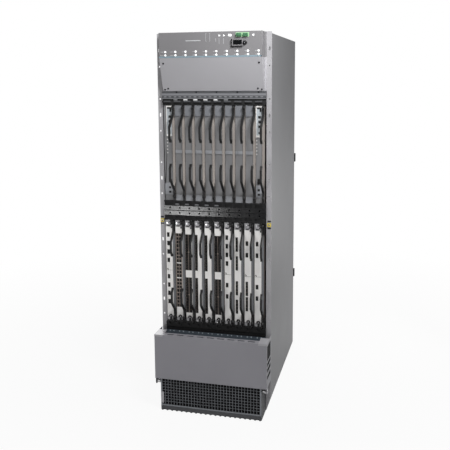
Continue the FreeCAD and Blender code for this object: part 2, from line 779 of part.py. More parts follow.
def is_bend(edge, z):
    """True for an edge across the lever at one of its bends."""
    along = edge.Vertexes[1].Point - edge.Vertexes[0].Point
    reach = abs(edge.Vertexes[0].Point.z - number(z))
    return abs(along.x) > 0.99 * edge.Length and 1 < reach < number("lever_end - 2 * tip_rise")


def slot_x(slot):
    return f"cage_left_x + {slot} * slot_pitch + card_gap / 2"


# Board of a card, whose edges run in the guide grooves
def card_board(body, card_height):
    board = new_sketch(body, "XY_Plane", "-board_bite - cage_clear")
    left = "board_left - card_gap / 2"
    rectangle(board, left, "0", f"{left} + board_thick", "board_depth")
    pad(body, board, f"{card_height} + 2 * board_bite + 2 * cage_clear")


# Port fields of a line card: left edge and width of each column, height and pitch of a port, and rows
FIELDS = {
    "plugs": ([("plug_left", "plug_width")], "plug_height", "plug_pitch", 4),
    "sparse": ([("plug_left", "plug_width")], "plug_height", "sparse_pitch", 2),
    "jacks": ([("jack_left", "jack_width"), ("jack_left + jack_width + jack_bar", "jack_width")],
              "jack_height", "jack_pitch", 5),
    "lanes": ([("lane_left", "lane_width"), ("lane_left + lane_width + lane_bar", "lane_width")],
              "lane_height", "lane_height", 1),
    "lane": ([("lane_left", "lane_width")], "lane_height", "lane_height", 1),
    "cages": ([("cage_left", "cage_width")], "cage_height", "cage_pitch", 2),
    "close": ([("cage_left", "cage_width")], "cage_height", "close_pitch", 2),
}

# Port fields of each line card, with the height of each above the foot of the card
PLUGS_UP, PLUGS_LOW = ("plugs", "plug_upper"), ("plugs", "plug_lower")
SPARSE_UP, SPARSE_LOW = ("sparse", "sparse_upper"), ("sparse", "sparse_lower")
LANES = (("lanes", "lane_upper"), ("lanes", "lane_lower"))
LANE = (("lane", "lane_upper"), ("lane", "lane_lower"))
CAGES = (("cages", "cage_upper"), ("cages", "cage_lower"))
LINE_CARDS = [(PLUGS_UP, PLUGS_LOW), (("jacks", "jack_foot"),), LANES, LANE, LANE, LANES,
              (PLUGS_UP, SPARSE_LOW), CAGES, (SPARSE_UP, ("close", "close_lower")), (SPARSE_UP, SPARSE_LOW)]


def port_field(body, kind, foot):
    columns, port_height, pitch, rows = FIELDS[kind]
    ports = new_sketch(body, "XZ_Plane", "face_proud")
    for left, width in columns:
        rectangle(ports, left, foot, f"{left} + {width}", f"{foot} + {port_height}")
    cut = pocket(body, ports, "port_depth")
    if rows > 1:
        repeat(body, cut, "Z_Axis", str(rows), pitch)


# Line card: proud face with ports, a sunk strip for the levers, and an ear with a pin at each end
def line_card(index, fields):
    body = new_body(f"line_card_{index + 1:02d}", slot_x(index), "front_y", "lower_z + cage_clear")
    tall = "(lower_height - 2 * cage_clear)"
    folded(body, [("0", "-face_proud"), ("face_width", "-face_proud"), ("face_width", "-strip_proud"),
                  ("card_width", "-strip_proud"), ("card_width", "0"), ("0", "0")], tall)
    card_board(body, tall)
    for kind, foot in fields:
        port_field(body, kind, foot)
    pivots = (f"{tall} - upper_inset", "lower_inset")
    ears = new_sketch(body, "YZ_Plane", "face_width")
    for z in pivots:
        rectangle(ears, "pivot_y - hub_radius", f"{z} - hub_radius", "-strip_proud / 2", f"{z} + hub_radius")
    pad(body, ears, "ear_thick")
    pins = new_sketch(body, "YZ_Plane", "face_width + ear_thick / 2")
    for z in pivots:
        circle(pins, "pivot_y", z, "pin_radius")
    pad(body, pins, "ear_thick / 2 + 2 * lever_side + lever_width")


# Ejector lever of a line card, modelled about its pivot
def line_lever(index, end):
    pivot = "tray_z - cage_clear - upper_inset" if end == "upper" else "lower_z + cage_clear + lower_inset"
    body = new_body(f"lever_{end}_{index + 1:02d}", f"{slot_x(index)} + lever_x", "front_y + pivot_y", pivot)
    add_lever(body, "0", "0", "0", -1 if end == "upper" else 1, "lever")


# Card of the upper cage: face and polished bar, with its two levers before the bar;
# the bars stand over the gaps between the slots, so the end cards are wider or narrower
def upper_card(label, slot):
    body = new_body(label, slot_x(slot), "front_y", "upper_z + cage_clear")
    tall = "(upper_height - 2 * cage_clear)"
    left = "0" if slot == 0 else "bar_overhang"
    right = "card_width" if slot + 1 == number("card_slots") else "card_width + bar_overhang"
    bar = f"{right} - bar_width"
    folded(body, [(left, "-fabric_proud"), (bar, "-fabric_proud"), (bar, "-face_proud"),
                  (right, "-face_proud"), (right, "0"), (left, "0")], tall)
    card_board(body, tall)
    lever = f"{bar} + (bar_width - lever_width) / 2"
    for z, way in ((f"{tall} - upper_inset", -1), ("lower_inset", 1)):
        foot = new_sketch(body, "YZ_Plane", lever)
        rectangle(foot, "pivot_y", f"{z} - hub_radius", "-strip_proud / 4", f"{z} + hub_radius")
        pad(body, foot, "lever_width")
        add_lever(body, lever, "pivot_y", z, way, "fabric")
    return body, tall, f"{left} + card_gap", f"{bar} - card_gap"


# Fabric card: raised blocks at both ends of the face and a band a little above its middle
def fabric_card(number_, slot):
    body, tall, left, right = upper_card(f"fabric_card_{number_}", slot)
    blocks = new_sketch(body, "XZ_Plane", "fabric_proud")
    middle = f"{tall} / 2 + middle_raise"
    for low, high in (("0", "foot_block"), (f"{middle} - middle_band / 2", f"{middle} + middle_band / 2"),
                      (f"{tall} - top_block", tall)):
        rectangle(blocks, left, low, right, high)
    pad(body, blocks, "block_proud")


# Control card: console ports near the top of the face and a module frame below
def control_card(side, slot):
    body, tall, left, right = upper_card(f"control_card_{side}", slot)
    ports = new_sketch(body, "XZ_Plane", "fabric_proud")
    port = f"{right} - console_inset"
    low = f"{tall} - console_drop - console_port - (console_ports - 1) * console_pitch"
    rectangle(ports, port, low, f"{port} + console_port", f"{low} + console_port")
    repeat(body, pocket(body, ports, "port_depth"), "Z_Axis", "console_ports", "console_pitch")
    module = new_sketch(body, "XZ_Plane", "fabric_proud")
    rectangle(module, left, "foot_block", right, "foot_block + module_height")
    pad(body, module, "block_proud")


# Fan tray: pierced plate with a strut frame, three rotors, a floor and two grips
def fan_tray(label, bay_z):
    body = new_body(label, "fan_x", "front_y", f"{bay_z} + fan_bay_height / 2")
    left, right = "-fan_x - tray_width / 2", "-fan_x + tray_width / 2"
    half = "fan_bay_height / 2 - bay_clear"
    plate = new_sketch(body, "XZ_Plane", "-rear_y")
    rectangle(plate, left, f"-({half})", right, half)
    for fan in range(SIZES["fan_count"]):
        circle(plate, f"{fan} * fan_pitch", "0", "fan_radius")
    pad(body, plate, "plate_thick")
    beam = new_sketch(body, "XZ_Plane", "-rear_y + plate_thick / 2")
    rectangle(beam, "-fan_radius - wall", "-strut_width / 2", "2 * -fan_x + fan_radius + wall", "strut_width / 2")
    pad(body, beam, "plate_thick / 2", backwards=True)
    strut = new_sketch(body, "XZ_Plane", "-rear_y + plate_thick / 2")
    rectangle(strut, "-strut_width / 2", "-fan_radius - wall", "strut_width / 2", "fan_radius + wall")
    repeat(body, pad(body, strut, "plate_thick / 2", backwards=True), "X_Axis", "fan_count", "fan_pitch")
    hub = new_sketch(body, "XZ_Plane", "-rear_y + plate_thick / 2")
    circle(hub, "0", "0", "fan_hub")
    repeat(body, pad(body, hub, "fan_deep"), "X_Axis", "fan_count", "fan_pitch")
    blade = new_sketch(body, "XZ_Plane", "-rear_y + plate_thick + blade_clear")
    rectangle(blade, "-blade_thick / 2", "fan_hub - blade_thick", "blade_thick / 2", "fan_radius - blade_clear")
    blades(body, pad(body, blade, "fan_deep - 2 * blade_clear"))
    floor = new_sketch(body, "XY_Plane", f"-({half})")
    rectangle(floor, f"{left} + wall", "rear_y - bay_shelf", f"{right} - wall", "rear_y - plate_thick / 2")
    pad(body, floor, "wall")
    for edge in ("-fan_x - grip_x - grip_width", "-fan_x + grip_x"):
        grip = new_sketch(body, "YZ_Plane", edge)
        tip, inside, root = "rear_y + rear_reach", "rear_y + rear_reach - grip_thick", "rear_y - plate_thick / 2"
        outline(grip, [(root, "-grip_length / 2"), (tip, "-grip_length / 2"), (tip, "grip_length / 2"),
                       (root, "grip_length / 2"), (root, "grip_length / 2 - grip_thick"),
                       (inside, "grip_length / 2 - grip_thick"), (inside, "-grip_length / 2 + grip_thick"),
                       (root, "-grip_length / 2 + grip_thick")])
        pad(body, grip, "grip_width")


def blades(body, blade):
    """Ring of blades about the first hub, and the same ring about the others."""
    several = body.newObject("PartDesign::MultiTransform", f"{body.Name}_blades")
    several.Originals = [blade]
    ring = body.newObject("PartDesign::PolarPattern", f"{body.Name}_ring")
    ring.Axis = (datum(body, "Y_Axis"), [""])
    ring.Angle = 360
    bind(ring, "Occurrences", "fan_blades")
    line = body.newObject("PartDesign::LinearPattern", f"{body.Name}_line")
    line.Direction = (datum(body, "X_Axis"), [""])
    bind(line, "Length", "fan_pitch * (fan_count - 1)")
    bind(line, "Occurrences", "fan_count")
    several.Transformations = [ring, line]
    body.Tip = several


# Power shelf: nine power modules side by side, each with an inlet and a pull tab
def power_shelf():
    body = new_body("power_shelf", "0", "front_y", "power_bay_z + bay_clear")
    tall, left = "power_bay_height - 2 * bay_clear", "-tray_width / 2"
    case = new_sketch(body, "XZ_Plane", "-rear_y")
    rectangle(case, left, "0", "tray_width / 2", tall)
    pad(body, case, "bay_shelf - wall")
    seam = new_sketch(body, "XZ_Plane", "-rear_y")
    rectangle(seam, f"{left} + module_pitch - module_seam / 2", "-wall",
              f"{left} + module_pitch + module_seam / 2", f"{tall} + wall")
    repeat(body, pocket(body, seam, "module_seam_depth", backwards=True), "X_Axis", "module_count - 1",
           "module_pitch")
    inlet = new_sketch(body, "XZ_Plane", "-rear_y")
    edge = f"{left} + (module_pitch - inlet_width) / 2"
    rectangle(inlet, edge, "inlet_z", f"{edge} + inlet_width", "inlet_z + inlet_height")
    repeat(body, pad(body, inlet, "inlet_proud", backwards=True), "X_Axis", "module_count", "module_pitch")
    tab = new_sketch(body, "XZ_Plane", "-rear_y")
    edge = f"{left} + (module_pitch - tab_thick) / 2"
    rectangle(tab, edge, "tab_z", f"{edge} + tab_thick", "tab_z + tab_height")
    repeat(body, pad(body, tab, "rear_reach", backwards=True), "X_Axis", "module_count", "module_pitch")


def check(things):
    """Stop on a failed feature, a pocket that cut nothing, or a piece without a valid solid."""
    for thing in things:
        if "Invalid" in thing.State or "Error" in thing.State:
            raise RuntimeError(f"{thing.Name}: {thing.State}")
        if thing.TypeId == "PartDesign::Pocket" and thing.Shape.Volume >= thing.BaseFeature.Shape.Volume:
            raise RuntimeError(f"{thing.Name} cuts nothing")
    for piece in PIECES:
        if piece.Shape.isNull() or not piece.Shape.isValid():
            raise RuntimeError(f"{piece.Label} has no valid shape")


side_panel("left_side_panel", -1)
side_panel("right_side_panel", 1)
top_panel()
base_pan()
rear_panel()
midplane()
upper_card_rail()
middle_cable_tray()
lower_card_rail()
craft_panel()
blank_cover()
craft_display()
alarm_button()
alarm_terminals()
esd_jacks()
intake_grille()
lower_cover()
for place, ports in enumerate(LINE_CARDS):
    line_card(place, ports)
    for lever_end in ("upper", "lower"):
        line_lever(place, lever_end)
control_card("left", 0)
for place in range(1, SIZES["card_slots"] - 1):
    fabric_card(place, place)
control_card("right", SIZES["card_slots"] - 1)
fan_tray("fan_tray_upper", "upper_fan_z")
fan_tray("fan_tray_lower", "lower_fan_z")
power_shelf()

doc.recompute()
check(doc.Objects)
os.makedirs("parts", exist_ok=True)
for piece in PIECES:
    piece.Shape.exportStep(f"parts/{piece.Label}.step")
print(len(PIECES), "pieces written")
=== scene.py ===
# %% [markdown]
# # A modular rack router, dressed in Blender
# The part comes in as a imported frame: sixty rigid nodes that already have their true places and joints.
# One could model the whole chassis again here. Keeping the frame and dressing it is shorter, and every
# card and lever then moves as the machine's own does.

# %% Load the frame
import json
import math

import bmesh
import bpy
from mathutils import Matrix, Vector

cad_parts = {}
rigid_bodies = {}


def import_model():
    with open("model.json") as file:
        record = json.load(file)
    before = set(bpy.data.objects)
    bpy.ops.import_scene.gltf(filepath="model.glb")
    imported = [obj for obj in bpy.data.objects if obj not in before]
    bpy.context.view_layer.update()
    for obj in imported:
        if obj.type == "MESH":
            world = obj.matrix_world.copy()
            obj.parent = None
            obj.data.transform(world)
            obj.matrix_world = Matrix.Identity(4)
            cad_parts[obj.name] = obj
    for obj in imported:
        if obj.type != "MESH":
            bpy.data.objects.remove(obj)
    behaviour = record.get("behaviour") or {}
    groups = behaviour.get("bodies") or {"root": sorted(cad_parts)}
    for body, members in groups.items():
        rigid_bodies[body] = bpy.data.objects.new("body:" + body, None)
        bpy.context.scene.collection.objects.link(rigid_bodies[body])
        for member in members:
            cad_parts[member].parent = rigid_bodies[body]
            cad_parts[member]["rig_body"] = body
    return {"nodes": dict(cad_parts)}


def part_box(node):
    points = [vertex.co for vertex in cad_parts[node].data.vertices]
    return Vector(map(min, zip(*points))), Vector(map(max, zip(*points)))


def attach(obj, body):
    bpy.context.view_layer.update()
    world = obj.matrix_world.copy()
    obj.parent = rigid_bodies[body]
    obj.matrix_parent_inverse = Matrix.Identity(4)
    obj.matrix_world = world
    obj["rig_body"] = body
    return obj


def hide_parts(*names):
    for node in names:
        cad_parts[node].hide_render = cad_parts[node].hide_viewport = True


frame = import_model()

scene = bpy.context.scene
nodes = frame["nodes"]
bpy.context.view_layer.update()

# %% [markdown]
# ## Measures
# A drawing of a rack machine is in millimetres, and Blender counts in metres. The planes that carry the
# details could be typed in from the drawing. They are read from the nodes instead, so a detail can't drift
# off its carrier.

# %% Planes that carry the details, in millimetres
MM = 0.001
PLAY = 0.6  # gap between the ends of a card and the rails
FORWARD, BACKWARD = (0, -1, 0), (0, 1, 0)


def low(node):
    """Lowest corner of a node's box."""
    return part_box(node)[0] / MM


def high(node):
    """Highest corner of a node's box."""
    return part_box(node)[1] / MM


LINE_CARDS = [f"line_card_{i:02d}" for i in range(1, 11)]
SLOTS = [low(card).x for card in LINE_CARDS]
CRAFT_Y = low("craft_panel").y
RAIL_Y = low("upper_card_rail").y
FLANGE_Y = low("left_side_panel").y
REAR_Y = high("left_side_panel").y
FACE_Y = FLANGE_Y - 10  # the card faces stand in front of the flange
CARD_LOW, CARD_HIGH = high("lower_card_rail").z + PLAY, low("middle_cable_tray").z - PLAY
print("card pitch", round(SLOTS[1] - SLOTS[0], 2), "mm, card faces at y", round(FACE_Y, 1))

# %% [markdown]
# ## Camera
# The photograph was taken from a little right of the chassis and from chest height. The place and the
# lens come from the flange's known width and from lines that run to one vanishing point. A guess by eye
# would do for a rough picture, but the card rows only line up when the place is right. The upright lines
# hardly converge, as with a lens that is shifted down, so the camera has a small shift too.

# %% Camera
EYE = (0.71358, -3.01880, 1.41260)
yaw, pitch, roll = 0.2455, 0.1465, -0.0069
ahead = Vector((-math.sin(yaw) * math.cos(pitch), math.cos(yaw) * math.cos(pitch), -math.sin(pitch)))
level = Vector((math.cos(yaw), math.sin(yaw), 0))
upward = level.cross(ahead)
right = math.cos(roll) * level + math.sin(roll) * upward
above = -math.sin(roll) * level + math.cos(roll) * upward
camera = bpy.data.objects.new("camera", bpy.data.cameras.new("camera"))
turn = Matrix((right, above, -ahead)).transposed().to_4x4()
camera.matrix_world = Matrix.Translation(EYE) @ turn
camera.data.lens = 53.44
camera.data.shift_y = -47 / 450  # 47 of the picture's 450 pixels
scene.collection.objects.link(camera)
scene.camera = camera
scene.view_settings.view_transform = "Standard"
print("camera lens", round(camera.data.lens, 2), "mm")

# %% [markdown]
# ## Shader nodes
# Every finish below is a small graph of nodes. It could be wired by hand in the shader editor. Here one
# helper adds a node, sets its options, and fills its sockets with numbers or links. Colours are picked in
# sRGB, as a paint card shows them, and shaders count in linear light, so one function turns the one into
# the other.

# %% Node helpers
def linear(code):
    """Linear colour of an sRGB hex code."""
    parts = [int(code[i:i + 2], 16) / 255 for i in (0, 2, 4)]
    return [c / 12.92 if c <= 0.04045 else ((c + 0.055) / 1.055) ** 2.4 for c in parts] + [1.0]


def add(tree, kind, sockets=None, **options):
    """Add a node; a socket takes a number, a colour, or the output of another node."""
    node = tree.nodes.new(kind)
    for name, value in options.items():
        setattr(node, name, value)
    for key, value in (sockets or {}).items():
        if isinstance(value, bpy.types.NodeSocket):
            tree.links.new(value, node.inputs[key])
        else:
            node.inputs[key].default_value = value
    return node


print("white is", linear("FFFFFF")[0])

# %% [markdown]
# ## Floor and sky
# The picture is a studio shot on white paper. A closed room would do, but a plain floor under an even
# sky is simpler: the camera sees white, while the object and its gloss get a softer light from the same
# sky, so that black stays black. Near the chassis the paper keeps a shadow, and further out it fades.

# %% Floor and sky
scene.world = bpy.data.worlds.new("studio_sky")
scene.world.use_nodes = True
sky = scene.world.node_tree
sky.nodes.clear()
seen = add(sky, "ShaderNodeLightPath").outputs["Is Camera Ray"]
soft = add(sky, "ShaderNodeBackground", {"Color": linear("FFFFFF"), "Strength": 0.16})
white = add(sky, "ShaderNodeBackground", {"Color": linear("FFFFFF"), "Strength": 1.0})
both = add(sky, "ShaderNodeMixShader", {0: seen, 1: soft.outputs[0], 2: white.outputs[0]})
add(sky, "ShaderNodeOutputWorld", {"Surface": both.outputs[0]})

paper = bpy.data.materials.new("white_studio_paper")
paper.use_nodes = True
tree = paper.node_tree
tree.nodes.clear()
matt = add(tree, "ShaderNodeBsdfDiffuse", {"Color": linear("D8D8D8")})
glow = add(tree, "ShaderNodeEmission", {"Color": linear("FFFFFF"), "Strength": 1.0})
place = add(tree, "ShaderNodeTexCoord").outputs["Object"]
distance = add(tree, "ShaderNodeVectorMath", {0: place}, operation="LENGTH")
fade = add(tree, "ShaderNodeMapRange", {"Value": distance.outputs["Value"], "From Min": 0.6, "From Max": 2.6,
                                        "To Min": 0.92, "To Max": 1.0})
seen = add(tree, "ShaderNodeLightPath").outputs["Is Camera Ray"]
part = add(tree, "ShaderNodeMath", {0: seen, 1: fade.outputs[0]}, operation="MULTIPLY")
both = add(tree, "ShaderNodeMixShader", {0: part.outputs[0], 1: matt.outputs[0], 2: glow.outputs[0]})
add(tree, "ShaderNodeOutputMaterial", {"Surface": both.outputs[0]})

bm = bmesh.new()
bmesh.ops.create_circle(bm, cap_ends=True, segments=64, radius=9.0)
floor = bpy.data.objects.new("floor", bpy.data.meshes.new("floor"))
bm.to_mesh(floor.data)
bm.free()
floor.data.materials.append(paper)
scene.collection.objects.link(floor)
print("floor and sky")

# %% [markdown]
# ## Lamps
# A soft box hangs close by, high on the right, so the panels grow darker towards the foot and the left, as
# they do in the picture. A low one in front puts a sheen on the cable tray, a broad dim one stands where the
# polished bars mirror it, and others light the left, the side and the back. Sun lamps would light every
# height alike, which is why boxes at a short distance are used.

# %% Lamps
def soft_box(name, place, target, width, height, watts):
    """Lamp with a square screen, at a place and aimed at a target."""
    lamp = bpy.data.objects.new(name, bpy.data.lights.new(name, "AREA"))
    lamp.data.shape = "RECTANGLE"
    lamp.data.size, lamp.data.size_y, lamp.data.energy = width, height, watts
    aim = (Vector(target) - Vector(place)).to_track_quat("-Z", "Y")
    lamp.matrix_world = Matrix.Translation(place) @ aim.to_matrix().to_4x4()
    scene.collection.objects.link(lamp)


soft_box("key", (0.75, -1.15, 2.25), (0.05, -0.35, 1.3), 0.6, 0.6, 33)
soft_box("fill", (-0.90, -2.8, 0.31), (-0.1, -0.35, 0.86), 0.4, 0.12, 4.5)
soft_box("front", (-0.65, -2.8, 0.83), (0.0, -0.35, 1.1), 0.9, 0.8, 0.75)
soft_box("side", (1.05, 0.75, 0.7), (0.24, 0.3, 0.75), 0.6, 0.6, 4.8)
soft_box("left", (-1.6, -2.2, 1.6), (-0.1, -0.35, 1.0), 1.0, 1.0, 5)
soft_box("back", (-1.0, 3.0, 1.6), (0.0, 0.4, 0.8), 1.4, 1.4, 48)
print("six soft boxes")

# %% [markdown]
# ## Painted steel
# The shell, panels and covers are steel sheet with a powder coat. Melted powder leaves a fine orange
# peel about a millimetre across, and the coat is never quite even. A flat colour would look like card,
# so a broad noise shifts the value by a few percent and a fine one makes the peel. The peel is drawn at
# twice its real size, so that it still shows in a picture of the whole chassis.

# %% Painted finishes
NOISE_LOW, NOISE_HIGH = 0.3, 0.7  # nearly all of a noise lies between these
UNEVEN_GLOSS = 0.05  # how far the roughness swings to either side


def new_finish(name, slot, roughness, metallic=0.0, ior=1.5):
    """Material with one Principled shader; slot is the record's name for the finish."""
    finish = bpy.data.materials.new(name)
    finish.use_nodes = True
    finish["slot"] = slot
    tree = finish.node_tree
    tree.nodes.clear()
    shader = add(tree, "ShaderNodeBsdfPrincipled", {"Roughness": roughness, "Metallic": metallic, "IOR": ior})
    add(tree, "ShaderNodeOutputMaterial", {"Surface": shader.outputs[0]})
    return finish, shader


def patterned(finish, shader, code, broad, uneven, fine, relief, length=None):
    """Let colour and gloss follow a broad noise and a relief a fine one; a length stretches that along Z.

    A noise is its size and its detail. Sizes, relief and length are in millimetres.
    """
    tree = finish.node_tree
    place = add(tree, "ShaderNodeTexCoord").outputs["Object"]
    size, detail = broad
    cloud = add(tree, "ShaderNodeTexNoise", {"Vector": place, "Scale": 1 / (size * MM), "Detail": detail})
    size, detail = fine
    scale = 1 / (size * MM)
    if length:
        drawn = add(tree, "ShaderNodeMapping", {"Vector": place, "Scale": (scale, scale, 1 / (length * MM))})
        place, scale = drawn.outputs[0], 1.0
    grain = add(tree, "ShaderNodeTexNoise", {"Vector": place, "Scale": scale, "Detail": detail})
    rough = shader.inputs["Roughness"].default_value
    shade, dull = [add(tree, "ShaderNodeMapRange", {
        "Value": cloud.outputs[0], "From Min": NOISE_LOW, "From Max": NOISE_HIGH,
        "To Min": middle - swing, "To Max": middle + swing})
        for middle, swing in ((1, uneven), (rough, UNEVEN_GLOSS))]
    colour = add(tree, "ShaderNodeHueSaturation", {"Color": linear(code), "Value": shade.outputs[0]})
    bump = add(tree, "ShaderNodeBump", {"Height": grain.outputs[0], "Strength": 1.0, "Distance": relief * MM})
    for node, socket in ((colour, "Base Color"), (dull, "Roughness"), (bump, "Normal")):
        tree.links.new(node.outputs[0], shader.inputs[socket])
    return finish


def painted(name, slot, code, roughness):
    return patterned(*new_finish(name, slot, roughness), code, (220, 4.0), 0.035, (2, 1.0), 0.02)


shell_paint = painted("powder_coated_steel_grey", "chassis_grey", "88888A", 0.5)
craft_paint = painted("powder_coated_steel_panel", "panel_grey", "777678", 0.42)
blank_paint = painted("powder_coated_steel_light", "cover_grey", "A5A4A8", 0.4)
cover_paint = painted("powder_coated_steel_cover", "panel_grey", "8F8E94", 0.36)
cheek_paint = painted("powder_coated_steel_dark", "chassis_grey", "48494C", 0.5)
fabric_paint = painted("painted_card_face_grey", "fabric_grey", "7C7C7E", 0.42)
block_paint = painted("painted_card_block_grey", "fabric_grey", "95979C", 0.4)
# The blocks near the top of a card get a darker grey: painted shade under the upper rail.
rail_shade_block_paint = painted("painted_card_block_rail_shade", "fabric_grey", "74767B", 0.4)
console_paint = painted("painted_console_light_grey", "control_grey", "AEB5BA", 0.4)
strip_paint = painted("painted_card_strip_blue_grey", "card_light", "707276", 0.4)
module_paint = painted("painted_module_grey", "module_grey", "8C8D8F", 0.45)
band_paint = painted("painted_rail_band_grey", "rail_dark", "77787C", 0.38)
tray_paint = painted("painted_tray_band_dark_grey", "rail_dark", "141416", 0.2)
skirt_paint = painted("painted_skirt_blue_grey", "rail_dark", "565F68", 0.4)
print("fourteen painted finishes")

# %% [markdown]
# ## Bare metals
# The rack flange is zinc plated, the card faces are nickel plated, and the bars beside the fabric levers
# are polished aluminium that mirrors the lever in front of it. A metal's colour is in its reflection. A
# rolled sheet has hairlines along one axis: a noise that is stretched along Z, with lines 0.6 mm wide,
# drawn coarser than the real ones. Plating that has dulled scatters more light, so it is only part metal.

# %% Metal finishes
def metal(name, slot, code, roughness, share=1.0, relief=0.02):
    """Metal sheet; share is how much of it is metal to the eye, relief the depth of its hairlines."""
    return patterned(*new_finish(name, slot, roughness, metallic=share), code, (120, 2.0), 0.03,
                     (0.6, 2.0), relief, length=90)


zinc = metal("zinc_plated_steel_dulled", "chassis_grey", "ABAAAD", 0.46, 0.25, 0.005)
nickel = metal("nickel_plated_faceplate", "card_light", "F0EEEC", 0.4, 0.3)
polished = metal("polished_aluminium", "fabric_grey", "BDB5AF", 0.1, 0.75, 0.0003)
bright = metal("bright_steel", "card_light", "CFCFD1", 0.28)
black_steel = metal("blackened_steel", "rail_dark", "2A2A2D", 0.45)
print("five metal finishes")

# %% [markdown]
# ## Moulded plastics
# Levers, rails, grille and terminals are moulded. An eroded mould leaves a grain of about half a
# millimetre, drawn at twice that size here, which spreads the gloss. Nylon with glass fibre is duller
# than the polished bezel of the display, so only the roughness and the grain differ between them.

# %% Plastic finishes
def moulded(name, slot, code, roughness, relief=0.03):
    return patterned(*new_finish(name, slot, roughness, ior=1.53), code, (50, 3.0), 0.08, (1.2, 2.0), relief)


nylon = moulded("glass_filled_nylon_black", "lever_black", "0C0C0D", 0.45)
rail_plastic = moulded("moulded_rail_black", "rail_dark", "08080A", 0.62)
scoop_plastic = moulded("moulded_rail_dark_grey", "rail_dark", "121214", 0.6)
bar_plastic = moulded("moulded_grille_grey", "grille_dark", "7E8186", 0.5)
grille_shade_plastic = moulded("moulded_grille_painted_shade", "grille_dark", "161618", 0.5)
port_plastic = moulded("port_plug_black", "lever_black", "080706", 0.6)
shield = moulded("port_shield_brown_grey", "card_light", "544A43", 0.5)
rim = moulded("port_rim_warm_grey", "card_light", "8C8078", 0.5)
gasket = moulded("conductive_gasket_brown", "card_light", "3A302A", 0.7, 0.12)
gloss = moulded("polished_bezel_black", "gloss_black", "0B0B0D", 0.15, 0.003)
green = moulded("terminal_green", "terminal_green", "47805A", 0.42)
pale_green = moulded("terminal_collar_pale_green", "terminal_green", "9FC39A", 0.45)
yellow = moulded("jack_bezel_yellow", "jack_yellow", "DCC552", 0.42)
foam = moulded("air_filter_foam_and_fold_shade", "grille_dark", "070708", 0.95, 0.6)
board = moulded("solder_masked_board", "board_green", "1F5233", 0.35, 0.02)
print("fifteen plastic finishes")

# %% [markdown]
# ## Inks, lenses and paper
# Marks on the panel are pale screen print, the lamps are milky lenses, and the slot labels are paper
# behind a clear strip. They could have a grain of their own, but they are small and even, so each is one
# plain shader: print is matt, and a lens is smooth with a little painted glow, so that it looks lit.

# %% Small even finishes
def plain(name, slot, code, roughness, glow=0.0):
    finish, shader = new_finish(name, slot, roughness)
    for socket in ("Base Color", "Emission Color"):
        shader.inputs[socket].default_value = linear(code)
    shader.inputs["Emission Strength"].default_value = glow
    return finish


print_pale = plain("screen_print_pale", "panel_grey", "B9BBBD", 0.6)
stripe_ink = plain("screen_print_blue_grey", "panel_grey", "7C909A", 0.5)
# A little painted glow makes the lenses look lit.
lens = plain("milky_lamp_lens_painted_glow", "panel_grey", "F4F5F5", 0.2, 0.35)
label = plain("slot_label_paper", "rail_dark", "D9DADB", 0.5)
faint_label = plain("slot_label_paper_grey", "rail_dark", "77787B", 0.5)
glass = plain("display_glass_dark", "gloss_black", "07090B", 0.06)
dot_ink = plain("skirt_stud_pale_blue", "rail_dark", "B2BEC6", 0.4)
print("seven plain finishes")

# %% [markdown]
# ## Building blocks
# A detail is a box, a round bar, a hoop or a group of them. Each could be added by hand in the editor.
# Here a bmesh gathers the shapes that one carrier needs. The hoop is a small square that a spin sweeps
# about the Y axis, all the way for a ring or part of the way for a hook.

# %% Shapes
def box(bm, corner, opposite):
    a, b = Vector(corner) * MM, Vector(opposite) * MM
    bmesh.ops.create_cube(bm, size=1, matrix=Matrix.LocRotScale((a + b) / 2, None, b - a))


def rod(bm, start, axis, radius, length, tip=None, sides=20, turn=0.0):
    """Round bar from a point along an axis; tip is the radius of its far end."""
    axis = Vector(axis).normalized()
    lie = axis.to_track_quat("Z", "Y").to_matrix().to_4x4() @ Matrix.Rotation(turn, 4, "Z")
    place = Matrix.Translation((Vector(start) + axis * length / 2) * MM) @ lie
    bmesh.ops.create_cone(bm, cap_ends=True, segments=sides, radius1=radius * MM,
                          radius2=(radius if tip is None else tip) * MM, depth=length * MM, matrix=place)


def hoop(bm, centre, radius, thick, deep, start=0.0, sweep=360.0, steps=24):
    """Ring or arc about the Y axis; angles run from +X towards +Z."""
    known = set(bm.faces)
    middle, full = Vector(centre) * MM, sweep == 360.0
    out = Vector((math.cos(math.radians(start)), 0, math.sin(math.radians(start))))
    corners = [bm.verts.new(middle + out * (radius + a * thick / 2) * MM + Vector((0, b * deep / 2 * MM, 0)))
               for a, b in ((-1, -1), (1, -1), (1, 1), (-1, 1))]
    loop = [bm.edges.new((corners[i], corners[i - 1])) for i in range(4)]
    swept = bmesh.ops.spin(bm, geom=corners + loop, cent=middle, axis=FORWARD, angle=math.radians(sweep),
                           steps=steps, use_merge=full)
    if not full:
        last = [part for part in swept["geom_last"] if isinstance(part, bmesh.types.BMEdge)]
        for ring in (loop, last):
            bmesh.ops.edgeloop_fill(bm, edges=ring)
    bmesh.ops.recalc_face_normals(bm, faces=[face for face in bm.faces if face not in known])


print("box, rod and hoop")

# %% [markdown]
# A piece can carry several finishes, such as a bright screw in a black cup. Each group of shapes could be
# an object. Here it gets its own material slot, so one object is enough for all the trim of a card. Edges
# are rounded last, because the bevel keeps the slot of the faces that it grows from. Large faces stay
# flat-shaded: smooth normals would bend across them and make a plate look dented.

# %% Pieces
WIDE = 6e-4  # square metres; a face as wide as this is a plate
LEVEL, CORNER = 0.02, 0.7  # radians; faces that turn by less are one plane, by more a corner


